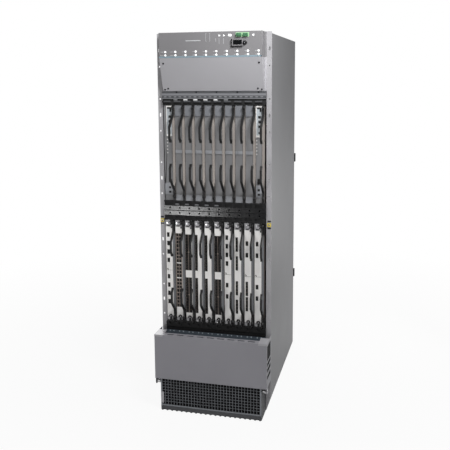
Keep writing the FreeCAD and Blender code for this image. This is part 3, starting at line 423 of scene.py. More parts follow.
def ease(bm, width, segments=2):
    """Shade round faces smooth and flat ones flat, and round off the corners by a width in mm."""
    inner = [e for e in bm.edges if len(e.link_faces) == 2]
    curved = {face for e in inner if LEVEL < e.calc_face_angle() < CORNER for face in e.link_faces}
    for face in bm.faces:
        face.smooth = face in curved and face.calc_area() < WIDE
    sharp = [e for e in inner if e.calc_face_angle() > CORNER]
    if width and sharp:
        rounds = bmesh.ops.bevel(bm, geom=sharp, offset=width * MM, offset_type="OFFSET", segments=segments,
                                 profile=0.5, affect="EDGES", clamp_overlap=True, material=-1)
        for face in rounds["faces"]:
            face.smooth = face.calc_area() < WIDE
    for e in bm.edges:
        e.smooth = len(e.link_faces) == 2 and e.calc_face_angle() < CORNER


def piece(bm, name, finishes, body, replaced=()):
    """Make a mesh of the shapes gathered so far and hang it on a body."""
    mesh = bpy.data.meshes.new(name)
    bm.to_mesh(mesh)
    bm.free()
    if mesh.has_custom_normals:  # a node's own normals no longer fit its eased copy
        mesh.attributes.remove(mesh.attributes["custom_normal"])
    for finish in finishes:
        mesh.materials.append(finish)
    thing = bpy.data.objects.new(name, mesh)
    scene.collection.objects.link(thing)
    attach(thing, body)
    if replaced:
        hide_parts(*replaced)


def detail(name, body, *groups, eased=0.25):
    """One piece from groups: a finish, a function that adds shapes to a bmesh, and what it is given."""
    bm = bmesh.new()
    for index, (finish, shapes, *given) in enumerate(groups):
        known = set(bm.faces)
        shapes(bm, *given)
        for face in bm.faces:
            if face not in known:
                face.material_index = index
    ease(bm, eased)
    piece(bm, name, [group[0] for group in groups], body)


print("pieces ready")

# %% [markdown]
# ## Rounded copies of the nodes
# The nodes have the right form, but their edges are perfectly sharp and each has one colour. A bevel
# modifier would ease them, but not colour them. So a copy of a node's mesh is merged, flat triangles are
# joined to whole faces, a rule gives each face its finish by where it lies on the card or rail, and sharp
# edges are eased, so that they catch light.

# %% Dressing
def all_of(bm):
    return bm.verts[:] + bm.edges[:] + bm.faces[:]


def dressed(node, finishes, rule=None, eased=0.35, segments=2, cut=None, trim=None):
    """Replace a node by an eased copy; rule(x, y, z, normal) gives a face's finish, or it is the first one.

    Faces that cross the height of a cut are split there first. What lies past a plane, given as a trim by
    a point and a normal, is cut off and the cut closed.
    """
    bm = bmesh.new()
    bm.from_mesh(nodes[node].data)
    bmesh.ops.remove_doubles(bm, verts=bm.verts, dist=2e-6)
    bmesh.ops.dissolve_limit(bm, angle_limit=math.radians(0.4), verts=bm.verts, edges=bm.edges)
    if cut is not None:
        bmesh.ops.bisect_plane(bm, geom=all_of(bm), plane_co=(0, 0, cut * MM), plane_no=(0, 0, 1))
    if trim is not None:
        point, normal = trim
        kept = bmesh.ops.bisect_plane(bm, geom=all_of(bm), clear_outer=True, plane_co=Vector(point) * MM,
                                      plane_no=normal)
        bmesh.ops.holes_fill(bm, edges=[e for e in kept["geom_cut"] if isinstance(e, bmesh.types.BMEdge)])
    for face in bm.faces:
        centre = face.calc_center_median() / MM
        face.material_index = finishes.index(rule(*centre, face.normal)) if rule else 0
    ease(bm, eased, segments)
    piece(bm, f"{node}_dressed", finishes, nodes[node]["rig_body"], [node])


def paint(node, finish):
    """Give a node that keeps its own mesh its finish."""
    nodes[node].data.materials.clear()
    nodes[node].data.materials.append(finish)


print("dressing ready")

# %% [markdown]
# ## Shell
# Each side panel is one sheet with the rack flange: grey paint outside, bare zinc on the flange, where
# paint would chip under the rack screws. A mask could paint both on one material, but a rule on the faces
# gives a cleaner edge. The flange's lower corner is cut off aslant, so that it doesn't stand out below the
# body. The duct at the foot is darker, as it is next to the grille.

# %% Shell
SIDE_X = 222.3  # just past the outer face of a side panel


def side_rule(x, y, z, normal):
    front = y < FLANGE_Y + 4 and abs(normal.x) < 0.5
    return zinc if front or abs(x) > SIDE_X else shell_paint


for side, hand in (("left", -1), ("right", 1)):
    dressed(f"{side}_side_panel", [shell_paint, zinc], side_rule, eased=0.5,
            trim=((hand * SIDE_X, 0, 0), (hand * 0.95, 0, -0.3)))
dressed("base_pan", [shell_paint, cheek_paint],
        lambda x, y, z, normal: cheek_paint if y < FLANGE_Y + 1 else shell_paint, eased=0.5)
for node, finish in (("top_panel", shell_paint), ("rear_panel", shell_paint), ("midplane", board)):
    paint(node, finish)
dressed("craft_panel", [craft_paint], eased=0.8)
dressed("blank_cover", [blank_paint], eased=0.8)
print("shell painted")

# %% [markdown]
# ## Indicator panel
# Two rows of ten slot lamps stand over a blue-grey stripe. Above them sit the alarm lamps. Lamps could be
# dots in a texture, but domed lenses catch a highlight from any side. The names that a maker would print
# here are left off, and plain rules take their place.

# %% Lamps and print
LAMPS_X = [-186 + 42.75 * i for i in range(10)]
LAMPS_Z = (1523.5, 1510)
ALARM_Z = 1584


def on_craft(bm, x0, z0, x1, z1, proud=0.25):
    """Thin field on the indicator panel."""
    box(bm, (x0, CRAFT_Y - proud, z0), (x1, CRAFT_Y + 0.2, z1))


def panel_lamps(bm):
    for z in LAMPS_Z:
        for x in LAMPS_X:
            rod(bm, (x, CRAFT_Y, z), FORWARD, 4.7, 2.2, 3.6)
    for x in (40.5, 59.5):
        rod(bm, (x, CRAFT_Y, ALARM_Z), FORWARD, 5.6, 1.8, 4.6, sides=3, turn=-math.pi / 2)
    for x in (80.5, 85.5):
        rod(bm, (x, CRAFT_Y, ALARM_Z + 0.5), FORWARD, 5.4, 2.0, 3.8)
    rod(bm, (177.5, CRAFT_Y, ALARM_Z), FORWARD, 4.4, 2.0, 3.0)


def panel_print(bm):
    for z in LAMPS_Z:
        for i, x in enumerate(LAMPS_X):
            on_craft(bm, x - (22 if i < 2 else 13), z - 0.7, x - 6.5, z + 0.7)
    for x in (-16, 1):
        on_craft(bm, x, 1563, x + 0.9, 1595)
    for x in (-16, -2.5):
        for z in (1563, 1594.1):
            on_craft(bm, x, z, x + 4.5, z + 0.9)
    for x, foot in ((25, 1560), (39, 1552), (57, 1552)):
        on_craft(bm, x, foot, x + 1.2, 1574)
    on_craft(bm, -99, 1565, -37, 1568)


detail("panel_lamps", "chassis", (lens, panel_lamps), eased=0.5)
detail("panel_print", "chassis", (print_pale, panel_print),
       (stripe_ink, on_craft, -213, 1500.6, 213, 1506, 0.35), eased=0)
print(len(LAMPS_X) * len(LAMPS_Z), "slot lamps")

# %% [markdown]
# The display is a dark window in a plate of the panel's colour, with a black lip that keeps fingers off
# the button. The terminals are plugs with four wire mouths each, in a pale collar. Boolean cuts would make
# the mouths; dark inserts that sit a hair proud look the same from a step away, and have fewer faces.

# %% Display, button and terminals
PLATE_Y = CRAFT_Y - 4
PLUG_PITCH, MOUTH_PITCH = 27, 4.3
plate_low, plate_high = low("craft_display"), high("craft_display")


def display_rule(x, y, z, normal):
    if y < PLATE_Y - 0.1:
        return gloss
    inside = plate_low.x + 6 < x < plate_high.x - 3 and plate_low.z + 6 < z < plate_high.z - 3
    return glass if inside and PLATE_Y + 0.1 < y < CRAFT_Y - 0.1 else craft_paint


dressed("craft_display", [craft_paint, gloss, glass], display_rule, eased=0.3)
dressed("alarm_button", [gloss], eased=1.2, segments=3)
knob = (low("alarm_button") + high("alarm_button")) / 2
# A pale dot in the knob's middle: partly its lens, partly a painted highlight.
detail("button_highlight_dot", "alarm_button",
       (faint_label, rod, (knob.x, low("alarm_button").y, knob.z), FORWARD, 2.6, 0.6, 1.8))
dressed("alarm_terminals", [green], eased=0.6)
plug_low, plug_high = low("alarm_terminals"), high("alarm_terminals")


def terminal_mouths(bm):
    for start in (plug_low.x, plug_low.x + PLUG_PITCH):
        for i in range(4):
            x, y, z = start + 2.3 + MOUTH_PITCH * i, plug_low.y, plug_low.z
            box(bm, (x, y - 0.25, z + 2), (x + 2.6, y + 0.5, z + 5.5))
            rod(bm, (x + 1.3, y + 0.5, z + 8.8), FORWARD, 1.3, 0.75, sides=12)


detail("terminal_trim", "chassis", (port_plastic, terminal_mouths),
       (pale_green, on_craft, plug_low.x - 3.5, plug_low.z - 2.5, plug_high.x + 3.5, plug_high.z + 2.5, 1.2),
       eased=0)
print("display, button and terminals")

# %% [markdown]
# ## Screws
# Dark pan-head screws hold the panels, and bright ones the top and the rear. Each is a short cone with a
# square drive. The drive is a thin plate in another finish, since a real cut would cost more faces than
# all the rest of the screw.

# %% Screws
HEAD = 0.4  # height of a screw's head, as a share of its radius


def screw_heads(bm, screws):
    for place, axis, radius in screws:
        rod(bm, place, axis, radius, radius * HEAD, radius * 0.72, sides=16)


def screw_drives(bm, screws):
    for place, axis, radius in screws:
        tip = Vector(place) + Vector(axis).normalized() * radius * HEAD
        rod(bm, tip, axis, radius * 0.45, 0.15, sides=4)


BLANK_TOP, BLANK_TALL = 1500.2, 134
FALL = (FLANGE_Y - 14 - CRAFT_Y) / BLANK_TALL  # how far the blank cover falls back for each mm down
SLOPE = Vector((0, -1, -FALL))
DARK_SCREWS = [((x, CRAFT_Y + FALL * (BLANK_TOP - z), z), SLOPE, 3.8) for x, z in (
    (-198, 1478), (199, 1478), (-204, 1372.5), (-190, 1376.5), (188, 1376.5), (204, 1372.5))]
DARK_SCREWS += [((210, CRAFT_Y, 1503), FORWARD, 2.8)]
DARK_SCREWS += [((x, RAIL_Y - 0.5, 1361.5), FORWARD, 3.6) for x in (-156, -71, 15, 102, 190)]
PALE_SCREWS = [((side * 212, y, high("top_panel").z), (0, 0, 1), 3.5) for side in (-1, 1)
               for y in range(-300, 420, 140)]
PALE_SCREWS += [((side * 211, high("rear_panel").y, z), BACKWARD, 3.5) for side in (-1, 1)
                for z in range(60, 1580, 190)]
for name, screws, head, drive in (("panel_screws", DARK_SCREWS, black_steel, port_plastic),
                                  ("shell_screws", PALE_SCREWS, bright, black_steel)):
    detail(name, "chassis", (head, screw_heads, screws), (drive, screw_drives, screws), eased=0)
print(len(DARK_SCREWS) + len(PALE_SCREWS), "screws")

# %% [markdown]
# ## Upper rail
# The rail is a black moulding with a grey head, and labels show through windows over the middle slots.
# The bands could be separate strips; on the copy of the rail, a rule on the depth of a face tells a band
# from a groove, and only the dark lines, pads, shelves, guide ends and labels are new.

# %% Upper rail
RAIL = low("upper_card_rail").z


def rail_rule(x, y, z, normal):
    if y > RAIL_Y + 0.5:
        return rail_plastic
    return band_paint if z > RAIL + 24 else scoop_plastic


def rail_lines(bm):
    for foot, head, proud in ((48, 55.5, 0.5), (28, 39, 0.4)):
        box(bm, (-220, RAIL_Y - proud, RAIL + foot), (220, RAIL_Y + 0.2, RAIL + head))


def rail_pads(bm):
    for x in SLOTS:
        for shift in (4, 25):
            box(bm, (x + shift, RAIL_Y - 1.0, RAIL + 31), (x + shift + 11, RAIL_Y - 0.2, RAIL + 36))


def labels(bm, columns, foot, head):
    for i in columns:
        box(bm, (SLOTS[i] + 2, RAIL_Y + 1, foot), (SLOTS[i] + 18, RAIL_Y + 6.2, head))


def guide_ends(bm, feet, tall):
    """Ends of the card guides, between the slots."""
    for x in SLOTS:
        for foot in feet:
            box(bm, (x + 33, RAIL_Y + 0.5, foot), (x + 45, RAIL_Y + 6, foot + tall))


def ledges(bm, foot):
    """Grey shelves below the labels, between the guides."""
    for x in SLOTS:
        box(bm, (x + 3, RAIL_Y - 0.7, foot), (x + 32, RAIL_Y + 0.2, foot + 5.5))


dressed("upper_card_rail", [band_paint, rail_plastic, scoop_plastic], rail_rule)
detail("upper_rail_trim", "chassis", (cheek_paint, rail_lines), (band_paint, rail_pads),
       (cheek_paint, ledges, RAIL + 12), (rail_plastic, guide_ends, [RAIL + 2.2], 15),
       (label, labels, range(2, 6), RAIL + 18.5, RAIL + 24),
       (faint_label, labels, (1, 6), RAIL + 18.5, RAIL + 24))
print("upper rail")

# %% [markdown]
# ## Cable tray and lower rail
# The tray between the cages has two pierced bands in a darker grey, and the lower rail has a round scoop
# under each card and a blue-grey skirt. Again strips could be laid on, and again the rule finds the bands
# by depth and height, with studs and labels added on them.

# %% Cable tray and lower rail
TRAY, SKIRT = low("middle_cable_tray").z, 312


def tray_rule(x, y, z, normal):
    return tray_paint if y < RAIL_Y + 0.5 and TRAY + 20 < z < TRAY + 64 else rail_plastic


def lower_rule(x, y, z, normal):
    if z < SKIRT + 28.5 and y < FLANGE_Y + 3:
        return skirt_paint
    return scoop_plastic if z > SKIRT + 38 and RAIL_Y + 5 < y < RAIL_Y + 7 else rail_plastic


def skirt_studs(bm):
    for x in SLOTS:
        for shift in (12, 29):
            rod(bm, (x + shift, RAIL_Y, SKIRT + 15), FORWARD, 2.8, 1.2, 2.2, sides=12)


dressed("middle_cable_tray", [tray_paint, rail_plastic], tray_rule)
dressed("lower_card_rail", [rail_plastic, scoop_plastic, skirt_paint], lower_rule)
detail("tray_trim", "chassis", (rail_plastic, guide_ends, (TRAY + 6.5, TRAY + 62.5), 15),
       (rail_plastic, box, (-219, RAIL_Y - 0.4, SKIRT + 20), (219, RAIL_Y + 0.2, SKIRT + 29)),
       (faint_label, labels, range(1, 6), TRAY + 66, TRAY + 71))
detail("skirt_studs", "chassis", (dot_ink, skirt_studs), eased=0)
print("cable tray and lower rail")

# %% [markdown]
# ## Ejector levers
# A lever is a thick nylon bow with a hooked end. It has no sharp edge where a hand grips it. A subdivision
# surface would round it too, but would draw its pin and hook out of shape, so the copy gets a bevel of more
# than a millimetre.

# %% Levers of the line cards
for i in range(1, 11):
    for end in ("upper", "lower"):
        dressed(f"lever_{end}_{i:02d}", [nylon], eased=1.4)
print("twenty levers")

# %% [markdown]
# ## Fabric and control cards
# Every card of the upper cage has a grey face with raised blocks, and a polished bar that mirrors the
# black levers in front of it. Faces could be picked by hand on one card. The rule reads how far across the
# card and how far out a face lies, and so does all ten. Black caps close the ends of the bar.

# %% Upper cage
UPPER = ["control_card_left"] + [f"fabric_card_{i}" for i in range(1, 9)] + ["control_card_right"]
CAGE_LOW, CAGE_HIGH = high("middle_cable_tray").z + PLAY, RAIL - PLAY


def bar_left(card):
    """Left edge of a card's polished bar."""
    return high(card).x - 11


def upper_rule(edge):
    def rule(x, y, z, normal):
        if y > FLANGE_Y + 1:
            return board
        if y < FACE_Y - 0.1:
            return nylon
        if x > edge - 0.1:
            return polished
        if y < FACE_Y + 3.5:
            # blocks near the top are painted darker, as shade under the upper rail
            return rail_shade_block_paint if z > CAGE_HIGH - 70 else block_paint
        return port_plastic if y > FACE_Y + 4.5 and normal.y < -0.9 else fabric_paint
    return rule


def bar_caps(bm, end):
    for foot, head in ((CAGE_LOW, CAGE_LOW + 14), (CAGE_HIGH - 9, CAGE_HIGH)):
        box(bm, (end - 0.3, FACE_Y - 0.5, foot), (end + 10.8, FACE_Y + 1, head))


for card in UPPER:
    dressed(card, [fabric_paint, nylon, polished, board, block_paint, port_plastic, rail_shade_block_paint],
            upper_rule(bar_left(card)))
    detail(f"{card}_caps", card, (nylon, bar_caps, bar_left(card)))
print(len(UPPER), "cards in the upper cage")

# %% [markdown]
# The control cards carry a light plate with three console ports near the top, a few small marks below it
# and a module with two more ports at the foot. A panel could be cut for every port; dark plugs on the
# plate, with bright bars between them, look the same and leave the plate whole.

# %% Console fields
FIELD_Y = FACE_Y + 4
CONSOLE_LOW, CONSOLE_HIGH = CAGE_HIGH - 129, CAGE_HIGH - 4


def on_field(bm, end, left, right, foot, head, proud, sunk=0):
    """Plate on the field beside the bar; left and right are measured back from the bar."""
    box(bm, (end - left, FIELD_Y - proud, foot), (end - right, FIELD_Y + sunk, head))


def console_bars(bm, end):
    on_field(bm, end, 27, 1, CONSOLE_HIGH - 4, CONSOLE_HIGH + 1.5, 2.2)
    on_field(bm, end, 26.5, 24, CONSOLE_LOW, CONSOLE_HIGH - 4, 1.6)
    on_field(bm, end, 26.5, 5, CONSOLE_LOW - 1, CONSOLE_LOW + 7, 1.8)
    for drop in (57.7, 77.2):
        on_field(bm, end, 17, 6, CAGE_HIGH - drop - 1, CAGE_HIGH - drop + 1, 1.3)
    for i in range(5):
        z = CONSOLE_LOW - 12 - 14 * i
        on_field(bm, end, 25, 21, z - 5, z, 0.6, 0.2)


def sockets(bm, end):
    on_field(bm, end, 22, 4, CONSOLE_HIGH - 12, CONSOLE_HIGH - 5, 1.5)
    on_field(bm, end, 11, 4, CONSOLE_HIGH - 23, CONSOLE_HIGH - 12, 1.4)
    for drop in (48, 67.5, 87):
        z = CAGE_HIGH - drop
        on_field(bm, end, 16.5, 6.5, z - 5, z + 5, 1.5)
    rod(bm, (end - 13, FIELD_Y - 0.5, CONSOLE_LOW + 17), FORWARD, 3.4, 0.9)
    for rise in (36.5, 55.5):
        z = CAGE_LOW + rise
        on_field(bm, end, 18.5, 9.5, z - 4.5, z + 4.5, 4.2, -3.4)
    on_field(bm, end, 20, 10, CAGE_LOW + 78, CAGE_LOW + 102, 0.9, 0.2)


for card in (UPPER[0], UPPER[-1]):
    end = bar_left(card)
    detail(f"{card}_trim", card, (console_paint, on_field, end, 26, 1.5, CONSOLE_LOW, CONSOLE_HIGH, 0.8, 0.2),
           (block_paint, on_field, end, 21, 6, CAGE_LOW + 27, CAGE_LOW + 71, 3.6, -2.9),
           (nickel, console_bars, end), (port_plastic, sockets, end))
print("console fields on both control cards")

# %% [markdown]
# ## Line cards
# A line card is a bright nickel face with ports, and a painted strip where its levers lie. Each port could
# be an object of its own. The rule tells face, port floor, strip and board apart by how far across and how
# deep a face of the mesh lies, and the card stays one piece.

# %% Line cards
def card_rule(slot):
    def rule(x, y, z, normal):
        across = x - slot
        if y > FLANGE_Y + 1:
            return board
        if across > 28.7:
            return strip_paint if y > FACE_Y + 5.5 else port_plastic
        return port_plastic if FACE_Y + 0.1 < y < FACE_Y + 3.1 and 0.3 < across < 28.3 else nickel
    return rule


for card, slot in zip(LINE_CARDS, SLOTS):
    dressed(card, [nickel, port_plastic, strip_paint, board], card_rule(slot))
print("ten line cards")

# %% [markdown]
# Each card end has a zinc plate with a captive screw and a black hook that holds the lever down. A dark
# gasket fills the gap to the next card, and its dark is partly painted shade of that deep gap. Some cards
# have a seam with a latch half way up. The hooks could be drawn as curves with a bevel; an arc of the hoop is
# a closed mesh at once.

# %% Ends, gaskets and latches of the line cards
LATCHES = {0: 603, 6: 599, 8: 596, 9: 597}  # height of the latch, by card
EDGES = (0.4, 28.4)  # left and right edge of a face plate
CARD_SCREWS = (CARD_HIGH - 13, CARD_LOW + 13)


def on_card(bm, slot, left, right, foot, head, proud, sunk=0.2):
    """Plate on a line card, from so far in front of the face to so far behind it."""
    box(bm, (slot + left, FACE_Y - proud, foot), (slot + right, FACE_Y + sunk, head))


def card_hooks(bm, slot, latch):
    hoop(bm, (slot + 17, FACE_Y - 1.2, CARD_HIGH - 15), 7, 3.6, 2.2, -75, 190, 14)
    on_card(bm, slot, 6, 18, CARD_HIGH - 27, CARD_HIGH - 22.5, 2.2)
    on_card(bm, slot, 20, 28.4, CARD_HIGH - 9, CARD_HIGH, 1.8)
    on_card(bm, slot, 23, 28, CARD_HIGH - 36, CARD_HIGH - 29, 1.8)
    hoop(bm, (slot + 16, FACE_Y - 1.2, CARD_LOW + 25), 5.5, 6.5, 2.2, -20, 230, 14)
    on_card(bm, slot, 13, 22, CARD_LOW + 4, CARD_LOW + 22, 2.2)
    on_card(bm, slot, *EDGES, CARD_LOW, CARD_LOW + 9, 1.8)
    for foot, head in ((CARD_LOW, CARD_LOW + 46), (CARD_HIGH - 50, CARD_HIGH)):
        on_card(bm, slot, 28.8, 42.5, foot, head, -5.1, 6.2)
    if latch:
        hoop(bm, (slot + 4.5, FACE_Y - 0.8, latch), 3.2, 2.2, 1.8, -60, 200, 10)


def end_plates(bm, slot):
    on_card(bm, slot, *EDGES, CARD_HIGH - 29, CARD_HIGH, 0.3)
    on_card(bm, slot, *EDGES, CARD_LOW, CARD_LOW + 24, 0.3)


def card_screws(bm, slot):
    for z in CARD_SCREWS:
        rod(bm, (slot + 8, FACE_Y, z), FORWARD, 5.0, 3.0, 3.8)


def card_lines(bm, slot, latch):
    """Seam under a latch, and the slots of the screws."""
    if latch:
        on_card(bm, slot, 0.4, 28.2, latch - 4, latch - 3, 0.15, 0.3)
    for z in CARD_SCREWS:
        on_card(bm, slot, 4.6, 11.4, z - 0.5, z + 0.5, 3.2, -2.8)


# Dark strips beside the face: a gasket, whose dark is partly painted shade of the gap between cards.
def gasket_and_gap_shade(bm, slot):
    on_card(bm, slot, -0.2, 0.5, CARD_LOW + 2, CARD_HIGH - 2, -0.3, 9)
    on_card(bm, slot, 38.6, 42.6, CARD_LOW + 1, CARD_HIGH - 1, -5.2, 6.3)


for i, (card, slot) in enumerate(zip(LINE_CARDS, SLOTS)):
    latch = LATCHES.get(i)
    detail(f"{card}_ends", card, (nylon, card_hooks, slot, latch), (bright, card_screws, slot),
           (zinc, end_plates, slot), (black_steel, card_lines, slot, latch), (gasket, gasket_and_gap_shade, slot),
           eased=0.2)
print("ends of ten line cards")

# %% [markdown]
# ## Ports
# Empty ports are closed with black plugs that have a rib to pull. Rows of jacks share one opening, with a
# thin shield between neighbours, and the long lanes are banks of small ports in the same way. Modelling
# every contact would add nothing at this distance, so a port is its plug and its shields.

# %% Ports of the line cards
FLOOR_Y = FACE_Y + 3
BANK, LANE = 61.5, 157  # height of a bank of jacks and of a lane of small ports


def plugs(bm, slot, feet):
    for foot in feet:
        z = CARD_LOW + foot
        box(bm, (slot + 5.7, FLOOR_Y - 1.6, z + 1), (slot + 15.3, FLOOR_Y + 0.1, z + 18.5))
        box(bm, (slot + 9.4, FLOOR_Y - 2.8, z + 4), (slot + 11.6, FLOOR_Y - 1.5, z + 15.5))


def shields(bm, slot, left, right, feet, tall, count, wall):
    """Walls that split each opening into a number of ports."""
    for foot in feet:
        for k in range(1, count):
            z = CARD_LOW + foot + tall * k / count
            box(bm, (slot + left, FACE_Y + 0.3, z - wall / 2), (slot + right, FLOOR_Y + 0.1, z + wall / 2))


UP_PLUGS, LOW_PLUGS = [265.5 + 37.3 * k for k in range(4)], [81 + 37.3 * k for k in range(4)]
UP_PAIR, LOW_PAIR = [306.5, 356.2], [121, 170.7]
PLUGS = {0: UP_PLUGS + LOW_PLUGS, 6: UP_PLUGS + LOW_PAIR, 8: UP_PAIR, 9: UP_PAIR + LOW_PAIR}
LANES = (235, 46)
JACKS = [68.5 + 66.2 * k for k in range(5)]
SHIELDS = {1: (rim, 3.5, 24.5, JACKS, BANK, 4, 3.6),
           7: (shield, 5, 15, (247.5, 328.5, 58, 139), BANK, 4, 1.8),
           8: (shield, 5, 15, (72, 139.5), BANK, 4, 1.8)}
SHIELDS.update({i: (gasket, 0.6, right, LANES, LANE, 12, 1.4) for i, right in (
    (2, 27.6), (3, 11.6), (4, 11.6), (5, 27.6))})
for i, feet in PLUGS.items():
    detail(f"{LINE_CARDS[i]}_plugs", LINE_CARDS[i], (port_plastic, plugs, SLOTS[i], feet), eased=0.4)
for i, (finish, *field) in SHIELDS.items():
    detail(f"{LINE_CARDS[i]}_shields", LINE_CARDS[i], (finish, shields, SLOTS[i], *field), eased=0)
print(sum(len(feet) for feet in PLUGS.values()), "plugs and", len(SHIELDS), "banks of ports")

# %% [markdown]
# Two of the cards have lanes on both sides of a dark spine, with a light rule and a stud half way, and the
# card with jacks has a frame round its columns. All could be cut from the face. They are strips on it, so
# that the nickel doesn't show between the ports.

# %% Spines between the lanes
def jack_frame(bm, slot):
    for foot in JACKS:
        on_card(bm, slot, 12.9, 15.1, CARD_LOW + foot, CARD_LOW + foot + BANK, 0.2)
    for foot in (JACKS[1], JACKS[4]):
        on_card(bm, slot, 2.5, 25.5, CARD_LOW + foot - 4.8, CARD_LOW + foot + 0.1, 0.2)
    for left, right in ((0.6, 3.6), (24.4, 28.2)):
        on_card(bm, slot, left, right, CARD_LOW + JACKS[0], CARD_LOW + JACKS[4] + BANK, 0.15)


def spine(bm, slot):
    for foot in LANES:
        on_card(bm, slot, 11.5, 16.7, CARD_LOW + foot, CARD_LOW + foot + LANE, 0.3)


def spine_rule(bm, slot):
    for foot in LANES:
        on_card(bm, slot, 13.2, 15, CARD_LOW + foot, CARD_LOW + foot + LANE, 0.7, 0)
        rod(bm, (slot + 14.1, FACE_Y, CARD_LOW + foot + 80), FORWARD, 3.4, 1.6, 2.6, sides=12)


for i in (2, 5):
    detail(f"{LINE_CARDS[i]}_spine", LINE_CARDS[i], (port_plastic, spine, SLOTS[i]),
           (rim, spine_rule, SLOTS[i]), eased=0)
detail(f"{LINE_CARDS[1]}_frame", LINE_CARDS[1], (rim, jack_frame, SLOTS[1]), eased=0)
print("two spines and the frame of the jacks")

# %% [markdown]
# ## Boards
# A card that is pulled out shows its board. Heat sinks stand on the large chips, with fins along the stream
# of air from the foot, and memory chips lie in rows beside them. A real board has thousands of parts; the
# ones that tell its scale are enough here.

# %% Parts on the boards
BOARD = 14.1  # right side of a board, from the left edge of its card
SINK_DEEP, SINK_TALL, FIN_PITCH = 78, 84, 8.4


def heat_sinks(bm, left, foot):
    for y in (FLANGE_Y + 70, FLANGE_Y + 280):
        for z in (foot + 60, foot + 230):
            box(bm, (left, y, z), (left + 5, y + SINK_DEEP, z + SINK_TALL))
            for k in range(10):
                fin = y + FIN_PITCH * k
                box(bm, (left + 4.8, fin, z), (left + 18, fin + 2.2, z + SINK_TALL))


def chips(bm, left, foot):
    for y in (FLANGE_Y + 35, FLANGE_Y + 180, FLANGE_Y + 205, FLANGE_Y + 390):
        for k in range(11):
            z = foot + 40 + 29 * k
            box(bm, (left, y, z), (left + 1.6, y + 12, z + 19))


for card in UPPER + LINE_CARDS:
    left, foot = low(card).x + BOARD, CAGE_LOW if card in UPPER else CARD_LOW
    detail(f"{card}_board_parts", card, (zinc, heat_sinks, left, foot), (port_plastic, chips, left, foot),
           eased=0)
print("boards of twenty cards")

# %% [markdown]
# ## Lower cover
# The cover of the cable trough is one painted sheet with folded sides. Light corner plates stiffen its
# top, dark plates on the folds paint the shade of their side faces, and the hinge pins have bright caps
# and spacers. The openings could be cut through the folds; dark plates on them look the same, as the
# trough behind is dark. The copy's eased edges give the thin highlight along the top.

# %% Lower cover
HINGE_Y, HINGE_Z = -439, 127
COVER_X = 242.6  # outer side of the folds
dressed("lower_cover", [cover_paint], eased=0.6)
cover_low, cover_high = low("lower_cover"), high("lower_cover")


def corner_plates(bm):
    for side in (-1, 1):
        a, b = sorted((side * 207, side * 243.4))
        box(bm, (a, cover_low.y - 0.4, cover_high.z - 0.4), (b, cover_low.y + 62, cover_high.z + 0.8))
        box(bm, (a, cover_low.y - 0.8, cover_high.z - 8), (b, cover_low.y + 0.2, cover_high.z + 0.8))


def hinge_caps(bm):
    for side in (-1, 1):
        rod(bm, (side * COVER_X, HINGE_Y, HINGE_Z), (side, 0, 0), 8.0, 1.6, 6.4)
        rod(bm, (side * 224, HINGE_Y, HINGE_Z), (side, 0, 0), 8.0, 15)


def fold_shade_plates(bm):
    """Dark plates on the folded sides: painted shade of their faces."""
    for side in (-1, 1):
        for foot, head in ((262, 326), (238, 254), (212, 228), (182, 198)):
            box(bm, (side * COVER_X, cover_low.y + 10, foot), (side * 243.2, cover_low.y + 86, head))


# The foam's black on the folds' plates is painted shade.
detail("cover_corner_plates", "lower_cover", (blank_paint, corner_plates), (foam, fold_shade_plates), eased=0.4)
detail("hinge_caps", "chassis", (bright, hinge_caps))
print("lower cover")

# %% [markdown]
# ## Intake grille and jacks
# The grille's bars are grey in front; their faces between are painted dark as shade, where no light
# reaches, and black filter foam sits behind. The earthing jacks are yellow plates, with a dark bar above
# and below that paints their shadow lines. Both nodes have the right form, so they are dressed by a rule,
# and only the foam, a bracket and the jacks' trim are new.

# %% Intake grille and jacks
FOOT = 22  # height of the grille's plain foot
JACK_X = 232.55
grille_y = low("intake_grille").y
jack_z = (low("esd_jacks").z + high("esd_jacks").z) / 2


# Faces of the grille other than the bars' fronts are painted dark, as shade.
def grille_rule(x, y, z, normal):
    if z < FOOT:
        return cheek_paint
    return bar_plastic if normal.y < -0.9 else grille_shade_plastic


def jack_rule(x, y, z, normal):
    return port_plastic if abs(abs(x) - JACK_X) < 3.9 and abs(normal.y) < 0.5 else yellow


# Dark bars above and below each jack paint its shadow lines.
def jack_shadow_bars(bm):
    for x in (-JACK_X, JACK_X):
        for z in (jack_z - 15, jack_z + 15):
            box(bm, (x - 7, FLANGE_Y - 1.4, z - 2.5), (x + 7, FLANGE_Y + 0.2, z + 2.5))


def jack_sleeves(bm):
    for x in (-JACK_X, JACK_X):
        hoop(bm, (x, FLANGE_Y - 4, jack_z), 3.4, 1.4, 1.0)


dressed("intake_grille", [grille_shade_plastic, bar_plastic, cheek_paint], grille_rule, eased=0.2, segments=1,
        cut=FOOT)
detail("filter_foam", "chassis", (foam, box, (-218, grille_y + 9, 3.2), (218, grille_y + 26, 159)), eased=2)
detail("grille_bracket", "chassis", (zinc, box, (-219, grille_y - 1.2, 34), (-207, grille_y + 0.2, 84)),
       eased=0.5)
dressed("esd_jacks", [yellow, port_plastic], jack_rule, eased=0.6)
detail("jack_trim", "chassis", (black_steel, jack_shadow_bars), (bright, jack_sleeves))
print("grille and jacks")

# %% [markdown]
# ## Fan trays
# Each fan tray has three fans behind wire guards. A guard is four rings on two wires that cross, bent
# from plated steel. A torus would do for a ring. Here a ring is spun about the fan's axle, which is the way
# the wire is bent in fact.

# %% Fan trays
FAN_X = (-126, 0, 126)
ARM = 63  # half the length of a guard's cross wire


def guards(bm, middle):
    for x in FAN_X:
        for radius in (17, 31, 45, 59):
            hoop(bm, (x, REAR_Y + 3.2, middle), radius, 2.0, 2.0, steps=36)
        for turn in (45, 135):
            arm = Vector((math.cos(math.radians(turn)), 0, math.sin(math.radians(turn)))) * ARM
            rod(bm, Vector((x, REAR_Y + 1.2, middle)) - arm, arm, 1.1, 2 * ARM, sides=8)


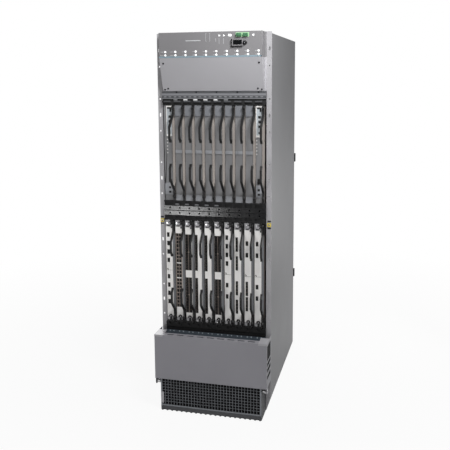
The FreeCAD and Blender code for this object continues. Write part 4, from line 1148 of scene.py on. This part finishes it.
def latches(bm, z):
    """Black release latches that show past the side panels."""
    for side in (-1, 1):
        a, b = sorted((side * 198, side * 228))
        box(bm, (a, REAR_Y + 0.1, z - 22), (b, REAR_Y + 11, z + 22))


def tray_screws(middle):
    """Four screws round each fan, and four large ones at the tray's corners."""
    small = [(x + a, b, 3.2) for x in FAN_X for a in (-45, 45) for b in (-45, 45)]
    large = [(x, z, 6.0) for x in (-190, 190) for z in (-100, 100)]
    return [((x, REAR_Y, middle + z), BACKWARD, radius) for x, z, radius in small + large]


for tray in ("fan_tray_upper", "fan_tray_lower"):
    middle = (low(tray).z + high(tray).z) / 2
    dressed(tray, [module_paint, nylon], lambda x, y, z, normal: (
        nylon if y < REAR_Y - 1 and abs(z - middle) < 60 else module_paint), eased=0.4)
    detail(f"{tray}_latches", tray, (nylon, latches, middle + 22), eased=2)
    detail(f"{tray}_guards", tray, (bright, guards, middle),
           (black_steel, screw_heads, tray_screws(middle)), eased=0)
print("two fan trays with", 2 * len(FAN_X), "guards")

# %% [markdown]
# ## Power modules
# Nine power modules stand side by side. Each has a field of vent slots, an inlet with three blades, two
# lamps and captive screws. The slots are dark strips on the face, because a cut through the case would
# show nothing but the dark behind it.

# %% Power modules
MODULES, VENTS = 9, 22
shelf = low("power_shelf")
wide = (high("power_shelf").x - shelf.x) / MODULES
CENTRES = [shelf.x + wide * (i + 0.5) for i in range(MODULES)]
MODULE_SCREWS = [((x, REAR_Y, shelf.z + z), BACKWARD, 4.0) for x in CENTRES for z in (10, 338)]


def vents(bm):
    for x in CENTRES:
        for k in range(VENTS):
            z = shelf.z + 82 + 7 * k
            box(bm, (x - 15, REAR_Y - 0.3, z), (x + 15, REAR_Y + 0.2, z + 3.4))


def module_lamps(bm):
    for x in CENTRES:
        for shift in (-6, 6):
            rod(bm, (x + shift, REAR_Y, shelf.z + 22), BACKWARD, 2.0, 1.0, 1.3, sides=12)


dressed("power_shelf", [module_paint, nylon],
        lambda x, y, z, normal: nylon if y > REAR_Y + 1 else module_paint, eased=0.5)
detail("module_trim", "chassis", (port_plastic, vents), (lens, module_lamps),
       (bright, screw_heads, MODULE_SCREWS), eased=0)
print(MODULES, "power modules")
